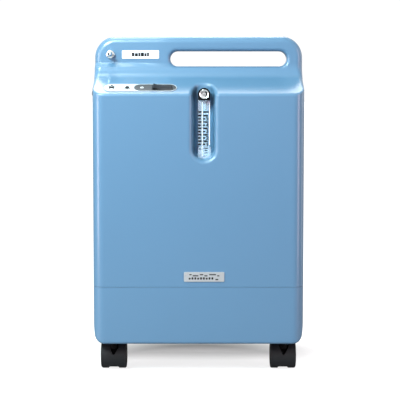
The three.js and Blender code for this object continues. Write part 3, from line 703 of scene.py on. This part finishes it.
def rod(radius, low, high, matrix=Matrix(), segments=32):
    """A plain cylinder along the frame's Z, for cutting holes or as a blank."""
    return turned("rod", [(0, low), (radius, low), (radius, high), (0, high)], matrix, segments)


def grown(outline, by):
    """x0, x1, y0, y1 made larger all round."""
    x0, x1, y0, y1 = outline
    return x0 - by, x1 + by, y0 - by, y1 + by


# ---- casing ----
OUTLET_HOLE_R, RESET_HOLE_R = 5 * MM, 7 * MM
SCREW_HOLE_R, STEM_HOLE_R = 2.8 * MM, 6 * MM
WELL_GAP = 1.9 * MM  # from the switch's opening to the casing's, all round
THROUGH_REAR = (REAR - 10 * MM, REAR + 10 * MM)
surface = casing_surface((2) * MM)
SPLIT = (SPLIT_Y - SPLIT_GAP / 2, SPLIT_Y + SPLIT_GAP / 2)
front_shell = shell(surface, "front_casing", (None, None, SEAM_TOP), (None, SPLIT[0], None))
rear_shell = shell(surface, "rear_casing", (None, SPLIT[1], SEAM_TOP), (None, None, None))
base_tub = shell(surface, "base_casing", (None, None, None), (None, None, SEAM_TOP - SEAM_GAP))
well_outline = (*SWITCH["x"], *SWITCH["u"])
cut(front_shell,
    rod(OUTLET_HOLE_R, -20 * MM, 20 * MM, OUTLET),
    plate("well_cut", [rounded(*grown(well_outline, WELL_GAP), 2 * MM, 4)], -12 * MM, 8 * MM, 0, ON_SHELF),
    rod(RESET_HOLE_R, -20 * MM, 20 * MM, RESET),
    *[rod(PIPE_HOLE_R, 75 * MM, 92 * MM, pipe) for pipe in (INLET_PIPE, KNOB)])
door_outline = (door_low.x + 0.5 * MM, door_high.x - 0.5 * MM, 259 * MM, 428 * MM)
cut(rear_shell,
    plate("door_cut", [rounded(*door_outline, 1 * MM, 3)], *THROUGH_REAR, 0, FACING_REAR),
    *[rod(SCREW_HOLE_R, -10 * MM, 10 * MM, on_rear(node)) for node in SCREWS])
EXHAUST = {"x": (20 * MM, 120 * MM), "foot": 70, "step": 9, "slots": 7, "high": 4 * MM}  # foot and step in mm
slot_feet = [(EXHAUST["foot"] + EXHAUST["step"] * i) * MM for i in range(EXHAUST["slots"])]
cut(base_tub,
    *[plate("exhaust_cut", [rounded(*EXHAUST["x"], z, z + EXHAUST["high"], 1.9 * MM, 4)],
            *THROUGH_REAR, 0, FACING_REAR) for z in slot_feet],
    plate("inlet_cut", [rounded(-inlet_high.x + 3 * MM, -inlet_low.x - 3 * MM,
                                inlet_low.z + 3 * MM, inlet_high.z - 3 * MM, 3 * MM)],
          *THROUGH_REAR, 0, FACING_REAR),
    *[rod(STEM_HOLE_R, BASE_Z - 10 * MM, BASE_Z + 10 * MM, at(*centre_of(f"caster_{corner}_fork").xy, 0))
      for corner in CASTERS])
TONGUE = {"foot": 142 * MM, "past_seam": 7 * MM, "inward": 3.9 * MM}
tongue = slice_of(surface, "seam_tongue", (None, None, TONGUE["foot"]),
                  (None, None, SEAM_TOP + TONGUE["past_seam"]), TONGUE["inward"])
modify(tongue, "SOLIDIFY", thickness=3 * MM, offset=-1)
for piece, edge in ((front_shell, 0.4 * MM), (rear_shell, 0.4 * MM), (base_tub, 1.2 * MM)):
    bevel(piece, edge, 3, 50)
    shade(piece, 50)
join(base_tub, shade(tongue))
finish_piece(front_shell, "casing", "casing_blue", nodes=["front_shell"])
finish_piece(rear_shell, "casing", "casing_blue", nodes=["rear_shell"])
finish_piece(base_tub, "casing", "casing_blue", nodes=["base_tub"])

# ---- control panel: a white plate with printed symbols, and the switch in its grey surround ----
panel_middle = sum(PANEL["u"]) / 2
PANEL_THICK, SURROUND_THICK = 1.5 * MM, 1.2 * MM
SURROUND = (-113 * MM, -39 * MM, 10 * MM, 34 * MM)
SURROUND_R = 11.9 * MM
panel = plate("panel_plate", [rounded(*PANEL["x"], *PANEL["u"], 12.9 * MM, 16),
                              rounded(*grown(SURROUND, 0.15 * MM), 12.1 * MM, 16)],
              0, PANEL_THICK, 0.4 * MM, ON_SHELF)
finish_piece(shade(panel), "casing", "panel_white", "panel_grey", nodes=["control_panel"])


INK = 0.12 * MM


def printed(name, outlines, matrix, look="print_black", slot="switch_black"):
    """Flat ink marks from closed outlines, each a list of loops for plate."""
    marks = [plate(name, loops, 0, INK, 0, matrix) for loops in outlines]
    return finish_piece(join(*marks), "casing", slot, look)


def ring(cx, cy, outer, inner):
    return [arc(cx, cy, outer, 0, 345, 23), arc(cx, cy, inner, 0, 345, 23)]


def warning_bell(cx, cy):
    """A plain bell over its clapper."""
    dome = (arc(cx, cy + 2.4 * MM, 2.8 * MM, 0, 180, 12)
            + [(cx - 5.4 * MM, cy - 4.4 * MM), (cx + 5.4 * MM, cy - 4.4 * MM)])
    return [[dome], [arc(cx, cy - 6.4 * MM, 1.6 * MM, 0, 315, 7)]]


def spanner_cross(cx, cy):
    """Two crossed bars with a dot above: a plain service symbol."""
    bars = []
    for tilt in (38, -38):
        c, s = math.cos(math.radians(tilt)), math.sin(math.radians(tilt))
        corners = [(-6, -2), (6, -2), (6, 2), (-6, 2)]
        bars.append([[(cx + (x * c - y * s) * MM, cy + (x * s + y * c) * MM) for x, y in corners]])
    return bars + [[arc(cx, cy + 6.6 * MM, 2.2 * MM, 0, 315, 7)]]


printed("panel_symbols", spanner_cross(-152.5 * MM, panel_middle) + warning_bell(-125 * MM, panel_middle),
        raised(ON_SHELF, PANEL_THICK))
WELL_DEPTH = 14 * MM
surround = plate("switch_frame", [rounded(*SURROUND, SURROUND_R, 16), rounded(*well_outline, 1.5 * MM, 5)],
                 0.2 * MM, SURROUND_THICK, 0.3 * MM, ON_SHELF)
well_inside = rounded(*well_outline, 1.5 * MM, 4)
well = plate("well", [rounded(*grown(well_outline, 1.5 * MM), 2 * MM, 4), well_inside],
             -WELL_DEPTH, 0.8 * MM, 0, ON_SHELF)
well_floor = plate("well_floor", [well_inside], -WELL_DEPTH - 2 * MM, -WELL_DEPTH, 0, ON_SHELF)
surround = join(shade(surround), shade(well), shade(well_floor))
finish_piece(surround, "casing", "surround_grey", nodes=["switch_surround"])
power_bar = rounded(-99.4 * MM, -98.6 * MM, panel_middle, panel_middle + 3.6 * MM, 0.3 * MM, 2)
printed("switch_mark", [ring(-99 * MM, panel_middle, 2.8 * MM, 2.0 * MM), [power_bar]],
        raised(ON_SHELF, SURROUND_THICK), "panel_white", "panel_white")

# ---- rocker ----
ROCK = math.radians(9)
rocker_middle = sum(SWITCH["x"]) / 2
rocker_at = ON_SHELF @ Matrix.Translation((rocker_middle, panel_middle, 0)) @ Matrix.Rotation(ROCK, 4, "Y")


def dish(x):
    """The height of the rocker's hollow top at x from its middle, both in mm."""
    return 1.4 + 1.8 * (x / 16) ** 2


dished = [(x * MM, dish(x) * MM) for x in np.linspace(16, -16, 17)]
profile = [(-17 * MM, 1.2 * MM), (-13 * MM, -3.5 * MM), (0, -6 * MM), (13 * MM, -3.5 * MM),
           (17 * MM, 1.2 * MM)] + dished
half_rocker = (SWITCH["u"][1] - SWITCH["u"][0]) / 2 - 0.5 * MM
rocker = plate("rocker_cap", [profile], -half_rocker, half_rocker, 0.5 * MM, rocker_at @ FACING_FRONT)
finish_piece(shade(rocker, 50), "rocker", "switch_black", nodes=["rocker_switch"])
skin = [(x * MM, (dish(x) + lift) * MM) for lift, xs in
        ((-0.3, np.linspace(-15.2, 15.2, 17)), (0.15, np.linspace(15.2, -15.2, 17))) for x in xs]
inlay = plate("rocker_inlay", [skin], 0.9 * MM - half_rocker, -0.5 * MM, 0.1 * MM, rocker_at @ FACING_FRONT)
finish_piece(shade(inlay, 50), "rocker", "surround_grey", "switch_top")
mark_on = plate("on_mark", [rounded(-11.4 * MM, -10.6 * MM, -2.4 * MM, 2.4 * MM, 0.3 * MM, 2)],
                2.2 * MM, 2.6 * MM, 0, rocker_at)
mark_off = plate("off_mark", ring(10.5 * MM, 0, 2.5 * MM, 1.8 * MM), 2.0 * MM, 2.5 * MM, 0, rocker_at)
finish_piece(join(mark_on, mark_off), "rocker", "panel_white", "switch_top")

# ---- oxygen outlet, label, badge and reset button ----
outlet_bore = 1.7
flange = [(4.6, -14), (4.6, 0.1), (7.0, 0.1), (7.3, 0.5), (7.3, 4.4), (6.9, 5), (5.4, 5.6), (4.2, 6),
          (3.5, 6.4)]
barbs = [(3.2, 7), (3.2, 9), (4.1, 9.3), (4.2, 9.8), (3.1, 14), (4.1, 14.3), (4.2, 14.8), (3.1, 19),
         (3.5, 19.3), (3.6, 19.8), (2.7, 23.6), (2.3, 24), (1.9, 23.8)]
outlet = turned("outlet_fitting", in_mm([(outlet_bore, -10), *flange, *barbs,
                                         (outlet_bore, 23), (outlet_bore, -10)]), OUTLET)
finish_piece(shade(outlet, 30), "casing", "fitting_chrome", nodes=["oxygen_outlet"])
nut_profile = [(0, -7.8), (7.4, -7.8), (8, -7.2), (8, -4.4), (7.4, -3.8), (0, -3.8)]
nut = cut(turned("nut", in_mm(nut_profile), OUTLET, 6), rod(4.9 * MM, -12 * MM, 0, OUTLET))
nut.name = "outlet_hex_nut"
finish_piece(shade(nut, 20), "casing", "aluminium", nodes=["outlet_nut"])

LABEL_THICK = 1.1 * MM
label = plate("label_card", [rounded(-33.3 * MM, 33.3 * MM, -7.3 * MM, 7.3 * MM, 1.2 * MM, 5)],
              -0.1 * MM, LABEL_THICK, 0.25 * MM, LABEL)
finish_piece(shade(label), "casing", "panel_white", "label_white", ["label_plate"])
# Bars in place of words: left edge, width and top, in mm from the label's middle.
bars = [(-15.5, 4.6, 3.4), (-10, 5.4, 2.4), (-3.8, 3.6, 3.4), (0.6, 5.8, 3.6), (7.2, 3.8, 2.4),
        (11.8, 3.6, 3.6)]
printed("label_marks", [[rounded(x * MM, (x + width) * MM, -3.4 * MM, top * MM, 0.5 * MM, 3)]
                        for x, width, top in bars], raised(LABEL, LABEL_THICK))

badge_low, badge_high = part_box("badge_plate")
badge_middle = (badge_low + badge_high) / 2
BADGE = at(badge_middle.x, FRONT, badge_middle.z, FACING_FRONT)
half_x, half_z = (badge_high.x - badge_low.x) / 2, (badge_high.z - badge_low.z) / 2
BADGE_THICK = 1.2 * MM
badge_outline = rounded(-half_x, half_x, -half_z, half_z, 1.5 * MM, 5)
badge = plate("badge", [badge_outline], 0, BADGE_THICK, 0.3 * MM, BADGE)
finish_piece(shade(badge), "casing", "badge_metal", nodes=["badge_plate"])
# A row of dashes over a row of bars in place of words: x0, x1, z0 and z1, in mm from the badge's middle.
dashes = [(-26, -22, 4), (-20, -10, 2), (-7.5, -1.5, 4), (0.5, 6, 2), (9, 21, 4), (23, 27, 2)]
marks = [(x0, x1, z - 0.95, z + 0.95) for x0, x1, z in dashes]
marks += [(-27 + 5 * i, -23.8 + 5 * i, -4.6, -0.6 if i % 3 else -1.4) for i in range(9)]
marks += [(20, 25, -5.6, -3.6)]
printed("badge_marks", [[rounded(*[c * MM for c in mark], 0.4 * MM, 3)] for mark in marks],
        raised(BADGE, BADGE_THICK))

ring_profile = [(6.5, -16), (6.5, 0), (10.4, 0), (11, 0.5), (10.6, 1.3), (9.6, 1.6), (5.2, 1.6), (4.5, 1.2),
                (4.5, -12.5), (4.2, -16), (6.5, -16)]
bezel = turned("reset_ring", in_mm(ring_profile), RESET)
finish_piece(shade(bezel), "casing", "switch_black", nodes=["reset_bezel"])
button = turned("reset_cap", in_mm([(0, -10), (4, -10), (4, 2.1), (3.5, 2.8), (2.2, 3), (0, 2.7)]), RESET)
finish_piece(shade(button), "reset", "switch_black", nodes=["reset_button"])

# ---- flow meter ----
block_low, block_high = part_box("flow_meter_block")
FLOAT = centre_of("flow_meter_float")
half_block = (block_high.x - block_low.x) / 2
depths = (-block_high.y, -block_low.y)
METER = at(METER_X, 0, 0, FACING_FRONT)  # its +Z is how far forward of the casing's middle
METER_BACK = 86.2 * MM
FOOT_FRONT = 109 * MM
meter = plate("meter_block", [rounded(-half_block, half_block, block_low.z, block_high.z, 1.2 * MM, 4)],
              *depths, 0.6 * MM, METER)
BORE_R, BALL_R = 5 * MM, 3.6 * MM
cut(meter, rod(BORE_R, block_low.z - 2 * MM, block_high.z + 2 * MM, at(METER_X, FLOAT.y, 0), 48))
finish_piece(shade(meter), "casing", "clear_block", nodes=["flow_meter_block"])
meter.visible_shadow = False  # clear plastic lets the light through to the recess
ball = turned("float_ball", arc(0, 0, BALL_R, -90, 90, 24), Matrix.Translation(FLOAT), 32)
finish_piece(shade(ball), "flow_float", "float_black", nodes=["flow_meter_float"])
SCALE_FACE = raised(METER, -block_low.y)
SCALE = {"foot": 405, "step": 5.6, "steps": 10, "numerals": 5, "half_tick": 1.4}  # lengths in mm
ticks = []
for i in range(SCALE["steps"]):
    z = SCALE["foot"] * MM + i * SCALE["step"] * MM
    half_tick = SCALE["half_tick"] * MM
    ticks += [[rounded(x0 * MM, x1 * MM, z - half_tick, z + half_tick, 0.3 * MM, 2)]
              for x0, x1 in ((-10.6, -4.6 if i % 2 else -5.8), (-1.6, 6.6 if i % 2 else 1.8))]
ticks += [[rounded(x0 * MM, x1 * MM, 460.4 * MM, 463.2 * MM, 0.3 * MM, 2)]
          for x0, x1 in ((-10, -4.8), (-1.6, 8.4))]
printed("meter_ticks", ticks, SCALE_FACE)


def numeral(number, x, z):
    """A digit on the meter's scale, centred at x, z in mm."""
    text = bpy.data.curves.new("numeral", "FONT")
    text.body = str(number)
    text.size = 9 * MM
    text.offset = 0.35 * MM
    text.align_x = text.align_y = "CENTER"
    text.extrude = 0.05 * MM
    mesh = mesh_of(link("numeral", text))
    mesh.transform(SCALE_FACE @ Matrix.Translation((x * MM, z * MM, 0.06 * MM)))
    return link("meter_numerals", mesh)


numerals = [numeral(i + 1, 5.6, SCALE["foot"] + 2 * SCALE["step"] * i) for i in range(SCALE["numerals"])]
finish_piece(join(*numerals), "casing", "switch_black", "print_black")
# White strips on the clear block's face, shaped as thin ribs: painted highlights for the bright streaks of
# light down the clear block
ribs = [turned("meter_painted_highlights", in_mm([(0, z0), (r, z0), (r, z1), (0, z1)]),
               at(METER_X + x * MM, block_low.y, 0), 32)
        for x, r, z0, z1 in ((-3.4, 0.35, 384, 479), (9.6, 0.5, 404, 479))]
finish_piece(shade(join(*ribs), 40), "casing", "clear_block", "panel_white")

fitting = plate("meter_foot", [rounded(-half_block, 12 * MM, 379.5 * MM, block_low.z - 0.3 * MM, 5 * MM, 8)],
                95 * MM, FOOT_FRONT, 0.8 * MM, METER)
root = plate("root", [rounded(-10 * MM, 10 * MM, 386 * MM, block_low.z - 0.6 * MM, 3 * MM, 6)],
             METER_BACK, 95.4 * MM, 0.3 * MM, METER)
tail = rod(PIPE_R, 68 * MM, 87 * MM, INLET_PIPE)
screw_dome = turned("dome", in_mm([(0, 108), (2.6, 108), (2.6, 109.4), (1.6, 110), (0, 110)]),
                    at(METER_X, 0, 391.5 * MM, FACING_FRONT))
ring_marks = [(-8.6, -5.6, 396), (-1, 7, 397.4), (0.4, 6, 393.4), (-0.4, 6.4, 389)]
printed("foot_rings", [[rounded(x0 * MM, x1 * MM, z * MM, (z + 1.6) * MM, 0.5 * MM, 3)]
                       for x0, x1, z in ring_marks], raised(METER, FOOT_FRONT))
foot = finish_piece(join(shade(fitting), shade(root), shade(tail), shade(screw_dome)), "casing",
                    "clear_block", nodes=["flow_meter_inlet"])
foot.visible_shadow = False
valve_outline = rounded(-half_block, half_block, block_high.z + 0.3 * MM, 491 * MM, 2 * MM, 6)
valve = plate("valve_housing", [valve_outline], METER_BACK, 104 * MM, 0.8 * MM, METER)
nose = turned("nose", [(0, METER_BACK), (9.4 * MM, METER_BACK),
                       *in_mm([(9.4, 105.4), (8.4, 106.4), (0, 106.4)])], KNOB)
for part in (valve, nose):
    cut(part, rod(PIPE_HOLE_R, 92 * MM, 110 * MM, KNOB))
valve = join(valve, nose, rod(PIPE_R, 68 * MM, 87 * MM, KNOB))
finish_piece(shade(valve), "casing", "switch_black", nodes=["flow_valve_body"])

FLUTES = 20
grip = []
for i in range(FLUTES * 6):
    turn = 2 * math.pi * i / (FLUTES * 6)
    radius = (11 - 0.55 * (0.5 - 0.5 * math.cos(FLUTES * turn)) ** 2) * MM
    grip.append((radius * math.cos(turn), radius * math.sin(turn)))
knob = plate("knob_grip", [grip], 107 * MM, 117 * MM, 0.6 * MM, KNOB)
cut(knob, rod(9.2 * MM, 115.3 * MM, 120 * MM, KNOB, 64))  # where the cap sits
stem = rod(PIPE_R, 92.6 * MM, 108 * MM, KNOB)
finish_piece(join(shade(knob, 40), shade(stem)), "flow_control", "switch_black", "stem_black", ["flow_knob"])
cap_profile = [(0, 115.4), (8.4, 115.4), (8.4, 117.0), (8.2, 117.7), (7.8, 118), (7.2, 117.7), (6.6, 117.1),
               (4.5, 116.75), (2.2, 116.8), (0, 116.9)]
cap = turned("knob_face", in_mm(cap_profile), KNOB)
finish_piece(shade(cap, 50), "flow_control", "fitting_chrome", nodes=["flow_knob_cap"])

# A black crescent on the right of the chrome cap's face: a painted dark reflection
crescent = arc(0, 0, 5.6 * MM, -62, 62, 16) + arc(-1.2 * MM, 0, 4.4 * MM, 58, -58, 16)
painted_cap_reflection = plate("painted_cap_reflection", [crescent], 117.2 * MM, 117.6 * MM, 0, KNOB)
finish_piece(painted_cap_reflection, "flow_control", "switch_black", "print_black")

# ---- rear: filter door, foam, screws and power inlet ----
x0, x1 = door_low.x + 1 * MM, door_high.x - 1 * MM
LOUVRE = {"foot": 282, "high": 8, "step": 15, "rows": 9}  # lengths in mm
louvre_feet = [LOUVRE["foot"] + LOUVRE["step"] * i for i in range(LOUVRE["rows"])]
frame_outline = rounded(-x1, -x0, 269 * MM, 427 * MM, 2 * MM, 4)
louvres = [rounded(-x1 + 13 * MM, -x0 - 13 * MM, z * MM, (z + LOUVRE["high"]) * MM, 3 * MM, 5)
           for z in louvre_feet]
door = plate("hatch", [frame_outline, *louvres], REAR - 3 * MM, REAR, 0.5 * MM, FACING_REAR)
blades = []
for z in louvre_feet:
    tilt = at(0, REAR - 2.2 * MM, (z + LOUVRE["high"] // 2) * MM, Matrix.Rotation(math.radians(-32), 4, "X"))
    blades.append(box_piece("blade", (x0 + 12 * MM, -0.6 * MM, -4.6 * MM),
                            (x1 - 12 * MM, 0.6 * MM, 4.6 * MM), tilt))
pin_z = 263.5 * MM
pin = at(0, REAR - 5 * MM, pin_z, Matrix.Rotation(math.pi / 2, 4, "Y"))
barrel_profile = [(0, -80.5), (3.4, -80.5), (4, -79.9), (4, 79.9), (3.4, 80.5), (0, 80.5)]
barrel = turned("barrel", in_mm(barrel_profile), pin)
axle = rod(1.6 * MM, -85 * MM, 85 * MM, pin)
neck = box_piece("neck", (-80.5 * MM, REAR - 3 * MM, pin_z), (80.5 * MM, REAR - 1 * MM, 270 * MM))
for blade in blades:
    shade(bevel(blade, 0.4 * MM))
door = join(shade(door), *blades, shade(barrel), shade(axle), shade(bevel(neck, 0.3 * MM)))
finish_piece(door, "filter_hatch", "casing_blue", nodes=["filter_door"])

foam_low, foam_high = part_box("intake_foam")
foam = box_piece("filter_pad", foam_low, foam_high)
form = bmesh.new()
form.from_mesh(foam.data)
bmesh.ops.subdivide_edges(form, edges=form.edges, cuts=24, use_grid_fill=True)
form.to_mesh(foam.data)
form.free()
pores = np.random.default_rng(7)
for vert in foam.data.vertices:
    vert.co += Vector(pores.uniform(-0.35, 0.0, 3)) * MM
finish_piece(shade(foam, 60), "casing", "foam", nodes=["intake_foam"])

SCREW_PROFILE = [(0, -20), (2.0, -20), (2.4, -19), (2.4, 0.1), (4.5, 0.1), (4.5, 0.6), (4.2, 1.5), (3.4, 2.3),
                 (2.2, 2.7), (0, 2.8)]
for node in SCREWS:
    spot = on_rear(node)
    screw = turned("head", in_mm(SCREW_PROFILE), spot, 32)
    for turn in (0, math.pi / 2):
        cross = spot @ Matrix.Rotation(turn + 0.3, 4, "Z")
        cut(screw, box_piece("cross", (-2.1 * MM, -0.4 * MM, 1.2 * MM), (2.1 * MM, 0.4 * MM, 4 * MM), cross))
    screw.name = node + "_head"
    finish_piece(shade(screw, 30), "casing", "steel", nodes=[node])

ix0, ix1, iz0, iz1 = -inlet_high.x, -inlet_low.x, inlet_low.z, inlet_high.z
mouth = [(ix0 + 12 * MM, iz0 + 6.5 * MM), (ix1 - 12 * MM, iz0 + 6.5 * MM), (ix1 - 12 * MM, iz1 - 9.5 * MM),
         (ix1 - 15 * MM, iz1 - 6.5 * MM), (ix0 + 15 * MM, iz1 - 6.5 * MM), (ix0 + 12 * MM, iz1 - 9.5 * MM)]
collar = [rounded(ix0 + 4 * MM, ix1 - 4 * MM, iz0 + 4 * MM, iz1 - 4 * MM, 2 * MM, 4), mouth]
socket = join(
    shade(plate("inlet_flange", [rounded(ix0, ix1, iz0, iz1, 5 * MM, 6), mouth],
                REAR + 0.1 * MM, REAR + 2.5 * MM, 0.6 * MM, FACING_REAR)),
    shade(plate("sleeve", [collar[0], mouth], REAR - 16 * MM, REAR + 0.2 * MM, 0, FACING_REAR)),
    shade(plate("socket_floor", [collar[0]], REAR - 24 * MM, REAR - 16 * MM, 0, FACING_REAR)))
finish_piece(socket, "casing", "switch_black", nodes=["power_inlet"])
inlet_x, inlet_z = (ix0 + ix1) / 2, (iz0 + iz1) / 2
pins = [plate("inlet_pins", [rounded(inlet_x + dx * MM - 1 * MM, inlet_x + dx * MM + 1 * MM,
                                     inlet_z + dz * MM - 2 * MM, inlet_z + dz * MM + 2 * MM, 0.4 * MM, 3)],
              REAR - 17 * MM, REAR - 3 * MM, 0.3 * MM, FACING_REAR)
        for dx, dz in ((-7, -1), (7, -1), (0, 1.5))]
finish_piece(shade(join(*pins)), "casing", "steel")

# ---- casters: a hood over two wheels, a web between them and a turned stem ----
HOOD = {"outer": 26.8 * MM, "inner": 24.7 * MM, "rib": (26.2 * MM, 27.4 * MM), "rib_half": 1.2 * MM}
WEB = {"half": 8 * MM, "r": 26.5 * MM, "waist": 19 * MM}
TRAIL = 16 * MM  # from the axle forward to the swivel
STEM_PROFILE = [(0, 38), (6.6, 38), (7, 38.6), (7, 47.4), (6.6, 48), (6, 48.2), (6, 49.4), (7.6, 49.6),
                (7.6, 50.8), (7.2, 51.2), (5.5, 51.4), (5.5, 73.4), (4.9, 74), (0, 74)]
WHEEL_PROFILE = [(0, 12.1), (3.3, 12.1), (3.3, 0), (22.4, 0), (23.2, 0.3), (24, 1.4), (24, 11.4),
                 (23.7, 12.6), (22.6, 13.9), (21.2, 14.5), (20.2, 14.7), (19.4, 14.2), (18.8, 13.2),
                 (9.2, 12.6), (8.6, 13.4), (7.8, 14.0), (4.0, 14.2), (0, 14.2)]
SPOKES = 6


def caster_hood(half, axle_at):
    """The hood, with a V notch at its front and a rib round each rim."""
    hub = at(*axle_at)
    band = arc(0, 0, HOOD["outer"], 48, 224, 40) + arc(0, 0, HOOD["inner"], 224, 48, 40)
    hood = plate("hood", [band], -half, half, 0.7 * MM, hub @ ACROSS)
    notch = in_mm([(-12, 30), (12, 30), (10.5, 18), (1.5, 4), (-1.5, 4)])
    cut(hood, plate("notch", [notch], 4 * MM, 40 * MM, 0, at(*axle_at, FACING_FRONT)))
    inner, outer = HOOD["rib"]
    rib = arc(0, 0, outer, 60, 222, 32) + arc(0, 0, inner, 222, 60, 32)
    rib_half = HOOD["rib_half"]
    ribs = [plate("rib", [rib], side * half - rib_half, side * half + rib_half, 0.5 * MM,
                  hub @ ACROSS @ Matrix.Translation((0, 0, -side * rib_half))) for side in (-1, 1)]
    return join(shade(hood, 40), *[shade(rib) for rib in ribs])


def caster_web(hub):
    """The web between the wheels, cut back at its waist."""
    outline = (arc(0, 0, WEB["r"], -42, 60, 20) + arc(0, 0, WEB["waist"], 84, 176, 16)
               + arc(0, 0, WEB["r"], 196, 222, 6))
    return shade(plate("web", [outline], -WEB["half"], WEB["half"], 0.6 * MM, hub @ ACROSS))


def caster_stem(axle_at):
    """The collar and the stem that turns in the casing."""
    collar = turned("collar", in_mm(STEM_PROFILE), at(axle_at.x, axle_at.y - TRAIL, 0), 40)
    cut(collar, rod(HOOD["inner"], -40 * MM, 40 * MM, at(*axle_at) @ ACROSS, 64))
    return shade(collar)


def caster_wheel(name, axle_at, sign):
    """One wheel, with its outer face away from the web and a ring of round pockets."""
    facing = Matrix.Rotation(sign * math.pi / 2, 4, "Y")
    wheel_at = at(axle_at.x + sign * (WEB["half"] + 0.3 * MM), axle_at.y, axle_at.z, facing)
    wheel = turned(name, in_mm(WHEEL_PROFILE), wheel_at, 72)
    for i in range(SPOKES):
        spoke = wheel_at @ Matrix.Rotation(i * math.pi / 3, 4, "Z")
        cut(wheel, plate("pocket", [arc(14 * MM, 0, 2.6 * MM, 0, 330, 11)], 12.2 * MM, 16 * MM, 0, spoke))
    return shade(wheel, 30)


for corner in CASTERS:
    body = "caster_" + corner
    stem_low, stem_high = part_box(body + "_fork")
    axle_at = centre_of(body + "_axle")
    hood = caster_hood((stem_high.x - stem_low.x) / 2 - 1 * MM, axle_at)
    web = caster_web(at(*axle_at))
    stem = caster_stem(axle_at)
    hood.name, web.name, stem.name = body + "_hood", body + "_web", body + "_stem"
    # Stem and web in a darker black than the hood: painted shade for the dark hollow in the hood's notch
    finish_piece(stem, body, "caster_black", "stem_black")
    finish_piece(web, body, "caster_black", "stem_black")
    finish_piece(hood, body, "caster_black", nodes=[body + "_fork"])
    for side, sign in (("left", -1), ("right", 1)):
        wheel = caster_wheel(f"{body}_{side}_tyre", axle_at, sign)
        finish_piece(wheel, f"{body}_wheel_{side}", "wheel_black", nodes=[f"{body}_wheel_{side}"])

# ---- CAD nodes that keep their shape ----
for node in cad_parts.values():
    for i, old in enumerate(node.data.materials):
        node.data.materials[i] = LOOKS[old.name.split(".")[0]].material
